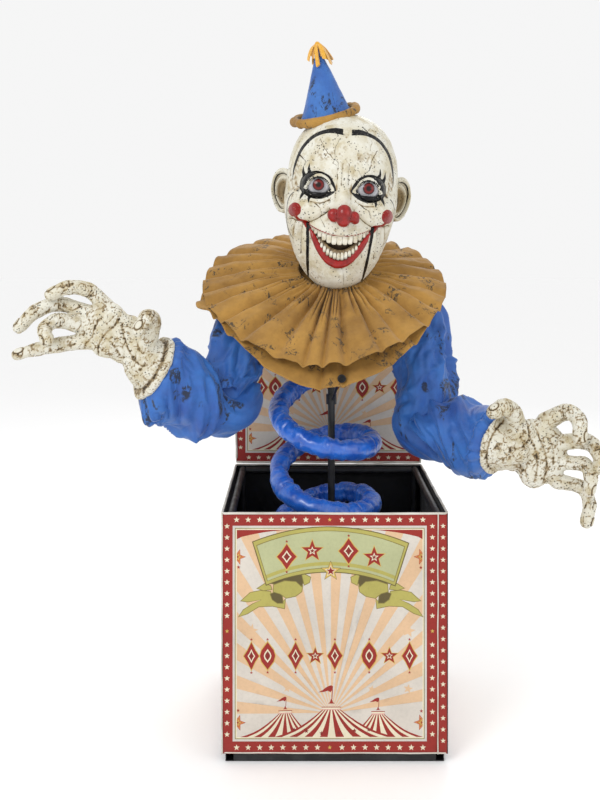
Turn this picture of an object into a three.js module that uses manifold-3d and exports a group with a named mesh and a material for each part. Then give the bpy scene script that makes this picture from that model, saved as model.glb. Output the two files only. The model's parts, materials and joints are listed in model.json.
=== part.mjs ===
// A life-size animated jack in the box: a clown bust with two big hands on a thin mast, which rises
// from a printed cloth box through a padded satin spring. Millimetres, +Z up, the clown looks along -Y.
// The origin is the middle of the floor frame's underside, straight under the mast. Left is -X.
import * as THREE from 'three';
import { mergeVertices } from 'three/addons/utils/BufferGeometryUtils.js';
import Module from 'manifold-3d';

const wasm = await Module();
wasm.setup();

// ---- Driving dimensions ----
const GAP = 0.3; // between pieces that touch
const BOX = { half: 230, top: 507, cloth: 1.5, hem: 18.5 }; // printed cloth box
const RAIL = { side: 18, half: 223 }; // square steel tube of the floor frame
const TUBE = { r: 8, wall: 1.5 }; // round steel tube of the posts, the rim and the mast
const POST = 213; // the posts stand at +-POST
const LID = { size: 460, thick: 11, y: 232, bottom: 512 };
const MAST = { foot: 76, top: 918 };
const COIL = { r: 103, tube: 25, pitch: 138, tilt: 28, x: -14, top: 679, startTurn: -0.36, endTurn: 4.42 };
const SHOULDER = { x: 205, z: 930 };
const BAR_R = 9.5;
const ARM_ROD = 6;
const KNUCKLE = { r: 15, thick: 12, off: 6.2 };
const SLEEVE_WALL = 4;
const ELBOW_ROOM = 8; // degrees each way between the two sleeves
const HEAD = { centre: [20, -22, 1150], roll: 4.5 }; // degrees, towards +X
const HEAD_SIZE = { width: 121, depth: 128, up: 187, down: 195, wall: 5 };
const JAW = { slot: 1.2, pivotY: 18, pivotZ: -24 };

const steel = [0.02, 0.02, 0.022];
const COLOURS = {
  frame_black: { color: steel, roughness: 0.45, metalness: 0.6 },
  black_plastic: { color: [0.03, 0.03, 0.03], roughness: 0.5, metalness: 0 },
  printed_cloth: { color: [0.62, 0.47, 0.36], roughness: 0.85, metalness: 0 },
  black_cloth: { color: [0.02, 0.02, 0.02], roughness: 0.9, metalness: 0 },
  blue_satin: { color: [0.03, 0.12, 0.5], roughness: 0.35, metalness: 0 },
  blue_cloth: { color: [0.03, 0.12, 0.45], roughness: 0.8, metalness: 0 },
  gold_cloth: { color: [0.55, 0.27, 0.06], roughness: 0.85, metalness: 0 },
  yellow_felt: { color: [0.8, 0.5, 0.05], roughness: 0.9, metalness: 0 },
  painted_shell: { color: [0.72, 0.68, 0.58], roughness: 0.55, metalness: 0 },
  tooth_ivory: { color: [0.8, 0.74, 0.6], roughness: 0.4, metalness: 0 },
  eye_gloss: { color: [0.75, 0.75, 0.76], roughness: 0.1, metalness: 0 },
};
const materials = {};
for (const [name, m] of Object.entries(COLOURS)) {
  materials[name] = new THREE.MeshStandardMaterial({
    color: new THREE.Color(...m.color), roughness: m.roughness, metalness: m.metalness,
  });
}

const part = new THREE.Group();
const V = (x, y, z) => new THREE.Vector3(x, y, z);
const rad = THREE.MathUtils.degToRad;

function add(name, geometry, material, parent = part) {
  const mesh = new THREE.Mesh(geometry, materials[material]);
  mesh.name = name;
  parent.add(mesh);
  return mesh;
}

// ---- Geometry helpers ----

// A geometry whose shared vertices are merged, as a solid that manifold-3d can cut.
function solid(geometry) {
  const g = geometry.clone();
  g.deleteAttribute('normal');
  g.deleteAttribute('uv');
  const m = mergeVertices(g, 1e-3);
  return new wasm.Manifold(new wasm.Mesh({
    numProp: 3,
    vertProperties: new Float32Array(m.attributes.position.array),
    triVerts: new Uint32Array(m.index.array),
  }));
}

function fromSolid(s) {
  const m = s.getMesh();
  const g = new THREE.BufferGeometry();
  g.setAttribute('position', new THREE.BufferAttribute(new Float32Array(m.vertProperties), 3));
  g.setIndex(new THREE.BufferAttribute(new Uint32Array(m.triVerts), 1));
  return g;
}

const union = (...gs) => fromSolid(gs.map(solid).reduce((a, b) => a.add(b)));
const cut = (g, ...tools) => fromSolid(tools.map(solid).reduce((a, b) => a.subtract(b), solid(g)));
const common = (a, b) => fromSolid(solid(a).intersect(solid(b)));
// Drops the slivers and near-flat facets that cutting and joining leave.
const simple = (g, tolerance) => fromSolid(solid(g).simplify(tolerance));

// A block between two opposite corners.
function block(x0, x1, y0, y1, z0, z1) {
  const g = new THREE.BoxGeometry(x1 - x0, y1 - y0, z1 - z0);
  return g.translate((x0 + x1) / 2, (y0 + y1) / 2, (z0 + z1) / 2);
}

// Turns a geometry that stands along +Z from the origin so that it runs from a towards b.
function aim(geometry, a, b) {
  const q = new THREE.Quaternion().setFromUnitVectors(V(0, 0, 1), b.clone().sub(a).normalize());
  return geometry.applyQuaternion(q).translate(a.x, a.y, a.z);
}

// A solid rod between two points, with another radius at b if r2 is given.
function rod(a, b, r, sides = 16, r2 = r) {
  const length = a.distanceTo(b);
  const g = new THREE.CylinderGeometry(r2, r, length, sides).rotateX(Math.PI / 2);
  return aim(g.translate(0, 0, length / 2), a, b);
}

// An open tube between two points.
function tube(a, b, r, wall, sides = 14) {
  const ring = new THREE.Shape().absarc(0, 0, r, 0, 2 * Math.PI);
  ring.holes.push(new THREE.Path().absarc(0, 0, r - wall, 0, 2 * Math.PI, true));
  const g = new THREE.ExtrudeGeometry(ring, {
    depth: a.distanceTo(b), steps: 1, bevelEnabled: false, curveSegments: sides,
  });
  return aim(g, a, b);
}

// A square tube along X or Y, centred on y or x = at, with its lower face at z = 0.
function squareTube(axis, from, to, at) {
  const s = RAIL.side, w = TUBE.wall;
  const ring = new THREE.Shape([
    new THREE.Vector2(-s / 2, 0), new THREE.Vector2(s / 2, 0),
    new THREE.Vector2(s / 2, s), new THREE.Vector2(-s / 2, s),
  ]);
  ring.holes.push(new THREE.Path([
    new THREE.Vector2(-s / 2 + w, w), new THREE.Vector2(-s / 2 + w, s - w),
    new THREE.Vector2(s / 2 - w, s - w), new THREE.Vector2(s / 2 - w, w),
  ]));
  const g = new THREE.ExtrudeGeometry(ring, { depth: to - from, bevelEnabled: false });
  g.rotateX(Math.PI / 2).translate(0, to, 0); // runs along +Y from `from` to `to`
  if (axis === 'x') g.rotateZ(-Math.PI / 2);
  return axis === 'x' ? g.translate(0, at, 0) : g.translate(at, 0, 0);
}

// A ball stretched to three radii.
function ball(centre, rx, ry = rx, rz = rx, w = 14, h = 10) {
  return new THREE.SphereGeometry(1, w, h).rotateX(Math.PI / 2).scale(rx, ry, rz).translate(...centre);
}

// A closed ring of revolution about +Z from profile points [r, z].
function lathe(profile, sides = 24) {
  const closed = [...profile, profile[0]].map(([r, z]) => new THREE.Vector2(r, z));
  return new THREE.LatheGeometry(closed, sides).rotateX(Math.PI / 2);
}

// Moves each vertex of a geometry by a function of its place.
function bend(geometry, move) {
  const p = geometry.attributes.position;
  const v = V(0, 0, 0);
  for (let i = 0; i < p.count; i += 1) {
    v.fromBufferAttribute(p, i);
    move(v);
    p.setXYZ(i, v.x, v.y, v.z);
  }
  return geometry;
}

// ---- Floor frame, posts and rim ----
{
  const inner = RAIL.half - RAIL.side - GAP;
  const at = RAIL.half - RAIL.side / 2;
  for (const [side, s] of [['left', -1], ['right', 1]]) {
    add(`floor_rail_${side}`, squareTube('y', -RAIL.half, RAIL.half, s * at), 'frame_black');
  }
  add('floor_rail_front', squareTube('x', -inner, inner, -at), 'frame_black');
  add('floor_rail_rear', squareTube('x', -inner, inner, at), 'frame_black');
  add('floor_cross_rail', block(-inner, inner, -30, 30, 0, 4), 'frame_black');
  const rimZ = BOX.top - 3 - TUBE.r;
  const postTop = rimZ - TUBE.r - GAP;
  for (const [end, sy] of [['front', -1], ['rear', 1]]) {
    for (const [side, sx] of [['left', -1], ['right', 1]]) {
      add(`post_${end}_${side}`, tube(
        V(sx * POST, sy * POST, RAIL.side + GAP), V(sx * POST, sy * POST, postTop), TUBE.r, TUBE.wall),
      'frame_black');
    }
    const reach = POST - TUBE.r - GAP;
    add(`rim_rail_${end}`, tube(V(-reach, sy * POST, rimZ), V(reach, sy * POST, rimZ), TUBE.r, TUBE.wall),
      'frame_black');
  }
  for (const [side, sx] of [['left', -1], ['right', 1]]) {
    const reach = POST + TUBE.r;
    add(`rim_rail_${side}`, tube(V(sx * POST, -reach, rimZ), V(sx * POST, reach, rimZ), TUBE.r, TUBE.wall),
      'frame_black');
  }
}

// ---- Printed cloth box and its floor ----
{
  const h = BOX.half, t = BOX.cloth, z0 = BOX.hem, z1 = BOX.top;
  add('cloth_front', block(-h, h, -h, -h + t, z0, z1), 'printed_cloth');
  add('cloth_rear', block(-h, h, h - t, h, z0, z1), 'printed_cloth');
  const side = h - t - GAP;
  add('cloth_left', block(-h, -h + t, -side, side, z0, z1), 'printed_cloth');
  add('cloth_right', block(h - t, h, -side, side, z0, z1), 'printed_cloth');
  const edge = POST + TUBE.r, notch = POST - TUBE.r - 2;
  const corner = edge - notch;
  const outline = new THREE.Shape([
    [-notch, -edge], [notch, -edge], [notch, -notch], [edge, -notch], [edge, notch], [notch, notch],
    [notch, edge], [-notch, edge], [-notch, notch], [-edge, notch], [-edge, -notch], [-notch, -notch],
  ].map(([x, y]) => new THREE.Vector2(x, y)));
  outline.holes.push(new THREE.Path([
    [-52, -42], [-52, 42], [52, 42], [52, -42],
  ].map(([x, y]) => new THREE.Vector2(x, y))));
  const floor = new THREE.ExtrudeGeometry(outline, { depth: 3, bevelEnabled: false });
  if (corner > 0) add('box_floor', floor.translate(0, 0, RAIL.side + GAP), 'black_cloth');
}

// ---- Lid: a stiff board with a printed cloth face, hinged along the rear rim ----
{
  const y0 = LID.y, y1 = y0 + LID.thick, w = LID.size / 2;
  const z0 = LID.bottom, z1 = z0 + LID.size;
  add('lid_board', block(-w, w, y0 + 2, y1, z0, z1), 'black_cloth');
  add('lid_cloth', block(-w, w, y0, y0 + 2 - GAP, z0, z1), 'printed_cloth');
  const z = BOX.top - 3 - TUBE.r;
  for (const [side, s] of [['left', -1], ['right', 1]]) {
    // A strap hinge: its leaf lies behind the rear cloth, and its knuckle is under the lid's edge.
    const leaf = block(s * 150 - 20, s * 150 + 20, BOX.half + GAP, BOX.half + 2, z - 40, z + 8);
    const knuckle = rod(V(s * 150 - 20, BOX.half + 2.5, z + 10), V(s * 150 + 20, BOX.half + 2.5, z + 10), 2.4, 10);
    add(`lid_hinge_${side}`, union(leaf, knuckle), 'frame_black');
  }
}

// ---- Drive at the foot of the mast, and the control box ----
{
  const body = block(-45, 45, -35, 35, 4 + GAP, 62);
  const can = rod(V(0, 38, 44), V(0, 100, 44), 20, 18);
  const neck = block(-12, 12, 30, 44, 32, 56);
  const bearing = rod(V(0, 0, 60), V(0, 0, 108), 15, 20);
  const bore = rod(V(0, 0, 50), V(0, 0, 120), TUBE.r + 0.6, 20);
  add('drive_motor', cut(union(body, neck, can, bearing), bore), 'black_plastic');
  const x0 = 133, x1 = 205, y0 = 138, y1 = 205, z0 = RAIL.side + 3 + 2 * GAP;
  const shell = cut(block(x0, x1, y0, y1, z0, z0 + 104), block(x0 + 3, x1 - 3, y0 - 3, y1 - 3, z0 + 3, z0 + 101));
  add('control_case', shell, 'black_plastic');
  const slot = block(158, 180, y0 - 9, y0, z0 + 74, z0 + 82);
  const cover = block(x0, x1, y0 - 4, y0 - GAP, z0, z0 + 104);
  const grille = [0, 1, 2, 3].map((i) => block(150, 188, y0 - 9, y0 + 1, z0 + 20 + 9 * i, z0 + 24 + 9 * i));
  add('control_cover', cut(cover, slot, ...grille), 'black_plastic');
  const button = union(
    block(161, 168, y0 - 9, y0 - 4.5, z0 + 75, z0 + 81),
    block(163, 166, y0 - 6, y0 + 2, z0 + 75, z0 + 81));
  add('mode_switch', button, 'tooth_ivory');
}

// ---- Mast and torso frame ----
const hubZ = SHOULDER.z;
{
  add('mast', tube(V(0, 0, MAST.foot), V(0, 0, MAST.top), TUBE.r, TUBE.wall, 16), 'frame_black');
  const hub = union(block(-24, 24, -19, 19, 890, 957), rod(V(0, 0, 950), V(0, 0, 985), 11, 16));
  add('shoulder_hub', cut(hub,
    rod(V(0, 0, 880), V(0, 0, MAST.top + GAP), TUBE.r + GAP, 16),
    rod(V(-40, 0, hubZ), V(40, 0, hubZ), BAR_R + GAP, 16)), 'black_plastic');
  add('shoulder_bar', tube(
    V(-SHOULDER.x - 2, 0, hubZ), V(SHOULDER.x + 2, 0, hubZ), BAR_R, TUBE.wall, 16), 'frame_black');
  add('neck_motor', cut(
    union(block(-27, 27, -22, 22, 985 + GAP, 1024), rod(V(0, 0, 1020), V(0, 0, 1032), 9, 16)),
    rod(V(0, 0, 1014), V(0, 0, 1040), 4.4, 12)), 'black_plastic');
  // A strut from the mast carries the sensor in front of the ruffle's hem.
  const clamp = rod(V(0, 0, 694), V(0, 0, 716), 12, 16);
  const strut = rod(V(2, -9, 706), V(12, -170, 772), 3.5, 8);
  add('sensor_strut', cut(union(clamp, strut), rod(V(0, 0, 680), V(0, 0, 730), TUBE.r + GAP, 16)), 'frame_black');
  add('motion_sensor', rod(V(12.5, -177, 774), V(13.5, -206, 778), 8, 16, 7), 'black_plastic');
}

// ---- Padded satin spring ----
class CoilPath extends THREE.Curve {
  // Counted in turns down from the height COIL.top; turn 0 is at the left and a quarter turn at the front.
  static at(turn) {
    const a = 2 * Math.PI * turn;
    const z = COIL.top - COIL.pitch * turn - COIL.tilt * Math.sin(a);
    return V(COIL.x - COIL.r * Math.cos(a), -COIL.r * Math.sin(a), Math.max(z, 21.6 + COIL.tube + 1));
  }

  getPoint(t) {
    return CoilPath.at(COIL.startTurn + (COIL.endTurn - COIL.startTurn) * t);
  }
}
{
  const section = new THREE.Shape().absarc(0, 0, COIL.tube, 0, 2 * Math.PI);
  add('satin_spring', new THREE.ExtrudeGeometry(section, {
    extrudePath: new CoilPath(), steps: 72, curveSegments: 8, bevelEnabled: false,
  }), 'blue_satin');
}

// ---- Arms ----
// Elbow and wrist of each arm; the upper arms swing on the shoulder bar and both are equally long.
const ARMS = {
  left: { s: -1, elbow: V(-225, -90, 702), wrist: V(-383, -170, 800) },
  right: { s: 1, elbow: V(215, -20, 676), wrist: V(354, -150, 631) },
};

// Each finger is a chain of joints: places from the wrist along the hand's own axes (out along the
// forearm's side, towards the palm's front, up), and a radius at each.
const HANDS = {
  left: {
    palm: [[14, 2, 20, 44, 30, 44], [52, 2, 56, 46, 27, 50], [96, 2, 84, 48, 24, 50]],
    fingers: {
      index: [[97, 0, 126, 19], [124, 14, 160, 17], [165, 30, 166, 16], [200, 40, 154, 13]],
      middle: [[130, 0, 110, 20], [186, 10, 130, 17], [234, 20, 120, 16], [274, 24, 80, 13]],
      ring: [[142, 6, 84, 19], [188, 34, 98, 16], [206, 58, 84, 15], [196, 74, 60, 13]],
      pinky: [[136, 8, 52, 18], [190, 14, 48, 16], [236, 22, 37, 15], [276, 26, 27, 12]],
      thumb: [[6, 18, 56, 25], [-6, 40, 94, 21], [-2, 62, 104, 18], [10, 80, 80, 14]],
    },
  },
  right: {
    palm: [[30, 4, -2, 44, 30, 50], [62, 6, -8, 42, 27, 62], [96, 10, -18, 38, 24, 60]],
    fingers: {
      index: [[92, 8, 50, 20], [130, 30, 74, 17], [147, 54, 58, 16], [145, 66, 20, 13]],
      middle: [[116, 12, 6, 20], [168, 34, 12, 17], [188, 58, -6, 16], [186, 70, -34, 13]],
      ring: [[120, 12, -34, 19], [166, 40, -32, 16], [172, 64, -52, 15], [162, 70, -82, 12]],
      pinky: [[116, 10, -74, 18], [164, 26, -82, 15], [176, 40, -112, 14], [164, 46, -160, 12]],
      thumb: [[26, 16, 44, 25], [14, 42, 76, 20], [-6, 62, 92, 18], [-32, 70, 80, 14]],
    },
  },
};

function finger(chain, place) {
  const parts = [];
  for (let i = 0; i + 1 < chain.length; i += 1) {
    const [a, b] = [place(chain[i]), place(chain[i + 1])];
    parts.push(rod(a, b, chain[i][3] * 0.96, 9, chain[i + 1][3] * 0.96));
    parts.push(ball([b.x, b.y, b.z], chain[i + 1][3], chain[i + 1][3], chain[i + 1][3], 9, 6));
  }
  return parts;
}

for (const [side, arm] of Object.entries(ARMS)) {
  const shoulder = V(arm.s * SHOULDER.x, 0, SHOULDER.z);
  const up = shoulder.clone().sub(arm.elbow).normalize();
  const out = arm.wrist.clone().sub(arm.elbow).normalize();
  const axis = up.clone().cross(out).normalize();
  const along = (p, d, n, o = 0) => p.clone().addScaledVector(d, n).addScaledVector(axis, o);
  const { r, thick, off } = KNUCKLE;
  const bolt = (a, b, radius) => rod(along(arm.elbow, axis, a), along(arm.elbow, axis, b), radius, 12);

  // Upper arm: a hub on the shoulder bar's end, a rod, and a knuckle disc at the elbow.
  const hub = rod(V(shoulder.x - 14, 0, SHOULDER.z), V(shoulder.x + 14, 0, SHOULDER.z), 17, 18);
  const hole = rod(
    V(arm.s * 150, 0, SHOULDER.z), V(arm.s * (SHOULDER.x + 4), 0, SHOULDER.z), BAR_R + GAP + 0.2, 16);
  const upper = union(
    hub,
    rod(along(arm.elbow, up, 18, off), along(shoulder, up, -10), ARM_ROD, 12),
    rod(along(arm.elbow, up, 4, off), along(arm.elbow, up, 24, off), ARM_ROD - 0.8, 12),
    rod(along(arm.elbow, axis, off - thick / 2), along(arm.elbow, axis, off + thick / 2), r, 16));
  add(`upper_arm_${side}`, cut(upper, hole, bolt(-20, 20, 3.4)), 'frame_black');

  // Forearm: the other disc and a rod that ends inside the hand.
  const fore = union(
    rod(along(arm.elbow, out, 4, -off), along(arm.elbow, out, 24, -off), ARM_ROD - 0.8, 12),
    rod(along(arm.elbow, out, 18, -off), along(arm.wrist, out, 26, -off), ARM_ROD, 12),
    rod(along(arm.elbow, axis, -off - thick / 2), along(arm.elbow, axis, -off + thick / 2), r, 16));
  add(`forearm_${side}`, cut(fore, bolt(-20, 20, 3.4)), 'frame_black');

  // The elbow's bolt with its wing nut.
  const bolts = union(bolt(-16.5, 16.5, 3), bolt(12.5, 17, 7), bolt(-20, -12.5, 7),
    rod(along(arm.elbow, up, -15, -17), along(arm.elbow, up, 15, -17), 3, 8));
  add(`elbow_bolt_${side}`, bolts, 'frame_black');

  // Hand: a hollow shell in the shape of a curled hand, thumb up and palm to the front.
  const place = (p) => V(arm.wrist.x + arm.s * p[0], arm.wrist.y - p[1], arm.wrist.z + p[2]);
  const hand = HANDS[side];
  const pieces = hand.palm.map((p) => {
    const c = place(p);
    return ball([c.x, c.y, c.z], p[3] * 1.15, p[4] * 1.1, p[5] * 1.1, 16, 11);
  });
  for (const chain of Object.values(hand.fingers)) {
    pieces.push(...finger(chain, place));
    const root = place(chain[0]);
    pieces.push(rod(place(hand.palm[1]), root, 22, 9, chain[0][3]));
    pieces.push(ball([root.x, root.y, root.z], chain[0][3], chain[0][3], chain[0][3], 9, 6));
  }
  const cuff = rod(along(arm.wrist, out, -6), along(arm.wrist, out, 34), 62, 20, 40);
  pieces.push(cuff);
  const hollow = [
    rod(along(arm.wrist, out, -90), along(arm.wrist, out, -6), 75, 18),
    rod(along(arm.wrist, out, -8), along(arm.wrist, out, 26), 56, 18, 34),
    rod(along(arm.wrist, out, 10, -off), along(arm.wrist, out, 60, -off), ARM_ROD + 0.8, 12),
  ];
  add(`hand_${side}`, simple(cut(union(...pieces), ...hollow), 0.9), 'painted_shell');

  // Sleeves: open cloth tubes, mitred at the elbow with a wedge of room on both sides to bend it.
  const mitre = (dir, tilt) => {
    const normal = up.clone().sub(out).normalize().multiplyScalar(dir).applyAxisAngle(axis, rad(tilt));
    const start = along(arm.elbow, normal, 3);
    return rod(start, along(start, normal, -300), 200, 12);
  };
  const sleeve = (profile, dir, target) => {
    const outer = profile.map(([z, radius]) => [radius, z]);
    const inner = profile.map(([z, radius]) => [radius - SLEEVE_WALL, z]).reverse();
    const whole = aim(lathe([...inner, ...outer], 16), arm.elbow, target);
    return cut(whole, mitre(dir, ELBOW_ROOM), mitre(dir, -ELBOW_ROOM));
  };
  const armLength = shoulder.distanceTo(arm.elbow);
  const foreLength = arm.elbow.distanceTo(arm.wrist);
  add(`sleeve_upper_${side}`, sleeve(
    [[-90, 62], [0, 66], [110, 68], [armLength - 75, 60]], 1, shoulder), 'blue_cloth');
  add(`sleeve_lower_${side}`, sleeve(
    [[-90, 62], [0, 66], [100, 78], [145, 78], [foreLength - 14, 60]], -1, arm.wrist), 'blue_cloth');
}

// ---- Shirt yoke and ruffled collar ----
{
  // The yoke is an arch of cloth over the shoulder bar, open below, with a neck hole.
  const arch = new THREE.Shape();
  arch.absarc(0, 0, 66, 0, Math.PI);
  arch.lineTo(-74, -70);
  arch.lineTo(-70, -70);
  arch.lineTo(-62, 0);
  arch.absarc(0, 0, 62, Math.PI, 0, true);
  arch.lineTo(70, -70);
  arch.lineTo(74, -70);
  const cloth = new THREE.ExtrudeGeometry(arch, { depth: 270, bevelEnabled: false, curveSegments: 12 });
  // The section's x becomes +Y and its y becomes +Z, and it runs along X.
  cloth.rotateX(Math.PI / 2).rotateZ(Math.PI / 2).translate(0, 0, 892);
  cloth.computeBoundingBox();
  cloth.translate(-(cloth.boundingBox.min.x + cloth.boundingBox.max.x) / 2, 0, 0);
  add('shirt_yoke', cut(cloth, rod(V(0, 0, 930), V(0, 0, 990), 48, 20)), 'blue_cloth');

  // A tier hangs from the neck and reaches further down at the front than at the back.
  const tier = (neckZ, neckSlope, edgeR, edgeZ, edgeSlope, frontDrop, thick) => {
    const rIn = 94, n = 4;
    const line = [];
    for (let i = 0; i <= n; i += 1) line.push([rIn + (edgeR - rIn) * i / n, i / n]);
    const profile = [...line.map(([r, t]) => [r, t - 2]), ...[...line].reverse().map(([r, t]) => [r, t + 2])];
    return bend(lathe(profile, 28), (v) => {
      const upper = v.z > 1.5;
      const t = upper ? v.z - 2 : v.z + 2;
      const y = v.y;
      const front = Math.max(0, -y / Math.hypot(v.x, v.y)) ** 3;
      const z0 = neckZ + neckSlope * y;
      const z1 = edgeZ + edgeSlope * y - frontDrop * front;
      const sag = Math.sin(Math.PI * t) * 6;
      v.z = z0 * (1 - t) + z1 * t + sag + (upper ? thick : 0);
      v.x = v.x * (1 + 0.08 * t) - 14 * t; // wider than deep, and pulled a little to the left
    });
  };
  add('collar_upper', tier(990, 0.5, 252, 966, 0.45, 46, 6), 'gold_cloth');
  add('collar_lower', tier(976, 0.45, 246, 948, 0.3, 108, 5), 'gold_cloth');
}

// ---- Head, with its hat ----
const head = new THREE.Group();
head.position.set(...HEAD.centre);
head.rotation.y = rad(HEAD.roll);

// The skull: a ball with a heavier jaw, narrowed and pushed forward towards the chin.
function skull(scale, w = 32, h = 26) {
  const g = new THREE.SphereGeometry(1, w, h).rotateX(Math.PI / 2);
  return bend(g, (v) => {
    const low = Math.min(1, Math.max(0, -v.z));
    const power = v.z > 0 ? 2.5 : 3.2;
    const fuller = Math.sqrt((1 - Math.abs(v.z) ** power) / Math.max(1e-4, 1 - v.z * v.z));
    const width = HEAD_SIZE.width * (1 - 0.25 * low) * fuller;
    const depth = HEAD_SIZE.depth * (1 - (v.y > 0 ? 0.35 : 0.12) * low) * fuller;
    const z = v.z * (v.z > 0 ? HEAD_SIZE.up : HEAD_SIZE.down);
    v.set(v.x * width * scale, (v.y * depth - 26 * low) * scale, z * scale);
  });
}

const prism = (points, y0, y1) => {
  const g = new THREE.ExtrudeGeometry(new THREE.Shape(points.map(([x, z]) => new THREE.Vector2(x, z))), {
    depth: y1 - y0, bevelEnabled: false,
  });
  return g.rotateX(Math.PI / 2).translate(0, y1, 0);
};

// The smile: x and z of the mouth's edges at n points from the left corner to the right one.
const MOUTH = { half: 69, corner: -62, upper: -92, lower: -146 };
function smile(depthAt, n = 8) {
  const points = [];
  for (let i = 0; i <= n; i += 1) {
    const u = -1 + 2 * i / n;
    points.push([u * MOUTH.half, MOUTH.corner + (depthAt - MOUTH.corner) * (1 - u * u)]);
  }
  return points;
}

{
  const { wall } = HEAD_SIZE;
  const inner = 1 - wall / HEAD_SIZE.width;
  const shell = cut(skull(1), skull(inner, 24, 18));
  const upperLip = smile(MOUTH.upper);
  const lowerLip = smile(MOUTH.lower);
  const slot = JAW.slot;
  // The jaw hangs between two slots that run from the mouth's corners to under the chin.
  const jawOutline = (grow) => [
    ...lowerLip.map(([x, z]) => [x * (1 + grow / MOUTH.half), z + grow]),
    [58 + grow, -230], [-58 - grow, -230],
  ].reverse();
  const jaw = common(shell, prism(jawOutline(-slot), -200, -40));
  const mouth = prism([...upperLip, ...lowerLip.map(([x, z]) => [x, z - 4]).reverse()].reverse(), -200, -60);
  const eyes = [-1, 1].map((s) => ball([s * 55, -92, 19], 26.6, 26.6, 26.6, 16, 12));
  const ears = [-1, 1].map((s) => ball([s * 131, 8, 4], 26, 13, 54, 12, 10));
  const nose = [ball([0, -139, -42], 19, 17, 21, 12, 9),
    ...[-1, 1].map((s) => ball([s * 21, -133, -48], 13, 11, 13, 10, 8))];
  const neckHole = rod(V(-20, 22, -240), V(-20, 22, -112), 66, 24);
  const whole = union(cut(shell, prism(jawOutline(slot), -200, -6), mouth), ...ears, ...nose);
  const shellOpen = cut(whole, ...eyes, neckHole, skull(inner - 0.001, 24, 18));
  add('head_shell', simple(shellOpen, 0.4), 'painted_shell', head);
  for (const [side, s] of [['left', -1], ['right', 1]]) {
    add(`eyeball_${side}`, ball([s * 55, -92, 19], 26, 26, 26, 16, 12), 'eye_gloss', head);
  }
  // The teeth are strips just behind the shell.
  const behind = inner - 0.03;
  const strip = (z0, z1, x, y) => common(
    cut(skull(behind, 24, 18), skull(behind - 0.06, 24, 18)), block(-x, x, -160, y, z0, z1));
  add('upper_teeth', strip(-96, -58, 66, -66), 'tooth_ivory', head);

  // The jaw swings on a rod behind the ears' middle; the lower teeth carry it there with two arms.
  add('jaw_shell', jaw, 'painted_shell', head);
  const { pivotY, pivotZ } = JAW;
  const arms = [-1, 1].map((s) => rod(V(s * 44, -86, -134), V(s * 44, pivotY, pivotZ), 4, 8));
  add('lower_teeth', union(strip(-150, -118, 52, -60), ...arms,
    rod(V(-64, pivotY, pivotZ), V(64, pivotY, pivotZ), 4, 12)), 'tooth_ivory', head);

  // The bracket holds the head on the neck motor's shaft, which stands upright under the leaning head.
  head.updateMatrixWorld();
  const shaft = rod(head.worldToLocal(V(0, 0, 1018)), head.worldToLocal(V(0, 0, 1064)), 4, 12);
  const cheeks = [-1, 1].map((s) => block(s * 59 - 2, s * 59 + 2, 8, 28, -92, -14));
  add('head_bracket', cut(
    union(block(-80, 80, 8, 34, -92, -87), block(-34, -6, -60, 68, -92, -87), ...cheeks, shaft),
    rod(V(-80, pivotY, pivotZ), V(80, pivotY, pivotZ), 4.4, 12)), 'frame_black', head);
  add('jaw_motor', union(block(-36, -4, 40, 66, -87 + GAP, -58), rod(V(-20, 53, -60), V(-20, 53, -48), 10, 14)),
    'black_plastic', head);
}

// The hat is tipped the other way and stands a little to the left of the crown.
const hat = new THREE.Group();
hat.position.set(-49, 0, 181);
hat.rotation.y = rad(-13);
{
  const cone = new THREE.ConeGeometry(54, 150, 24).rotateX(Math.PI / 2).translate(0, 0, 83);
  add('hat_cone', cone, 'blue_cloth', hat);
  const brim = new THREE.TorusGeometry(65, 10, 8, 24);
  add('hat_brim', brim, 'gold_cloth', hat);
  const tassel = cut(
    new THREE.ConeGeometry(23, 58, 12).rotateX(Math.PI / 2).translate(0, 0, 136),
    new THREE.ConeGeometry(54, 150, 24).rotateX(Math.PI / 2).translate(0, 0, 83 + 1.2));
  add('hat_tassel', tassel, 'yellow_felt', hat);
}
head.add(hat);
part.add(head);

export default part;
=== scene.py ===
"""The jack in the box: its looks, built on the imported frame. Metres, +Z up, the clown looks along -Y."""

import json
import math

import bpy
import numpy as np
from mathutils import Matrix, Vector, geometry


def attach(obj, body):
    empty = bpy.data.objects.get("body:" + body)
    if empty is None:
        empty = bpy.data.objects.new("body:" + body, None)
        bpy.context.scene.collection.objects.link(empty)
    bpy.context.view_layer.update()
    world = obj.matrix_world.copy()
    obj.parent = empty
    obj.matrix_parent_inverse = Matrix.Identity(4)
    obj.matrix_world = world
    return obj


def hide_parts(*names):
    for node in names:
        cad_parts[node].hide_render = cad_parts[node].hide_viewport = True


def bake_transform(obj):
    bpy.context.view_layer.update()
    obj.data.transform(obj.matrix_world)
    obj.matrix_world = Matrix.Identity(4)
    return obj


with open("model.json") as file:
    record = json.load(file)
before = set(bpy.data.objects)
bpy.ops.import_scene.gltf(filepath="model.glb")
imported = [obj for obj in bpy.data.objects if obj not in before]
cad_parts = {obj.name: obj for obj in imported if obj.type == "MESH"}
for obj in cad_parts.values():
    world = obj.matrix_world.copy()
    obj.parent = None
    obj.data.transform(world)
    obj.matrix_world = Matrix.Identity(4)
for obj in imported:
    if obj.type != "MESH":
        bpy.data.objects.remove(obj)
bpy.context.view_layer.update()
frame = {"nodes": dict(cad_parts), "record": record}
MM = 0.001

# ---- Camera, light and floor ----

scene = bpy.context.scene
scene.view_settings.view_transform = "Standard"


def make_camera():
    data = bpy.data.cameras.new("camera")
    data.sensor_width = 36
    data.lens = 45.36
    data.shift_y = -0.193
    cam = bpy.data.objects.new("camera", data)
    cam.location = (-0.071, -2.28, 1.052)
    cam.rotation_euler = (math.pi / 2, 0, 0)
    scene.collection.objects.link(cam)
    scene.camera = cam


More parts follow.
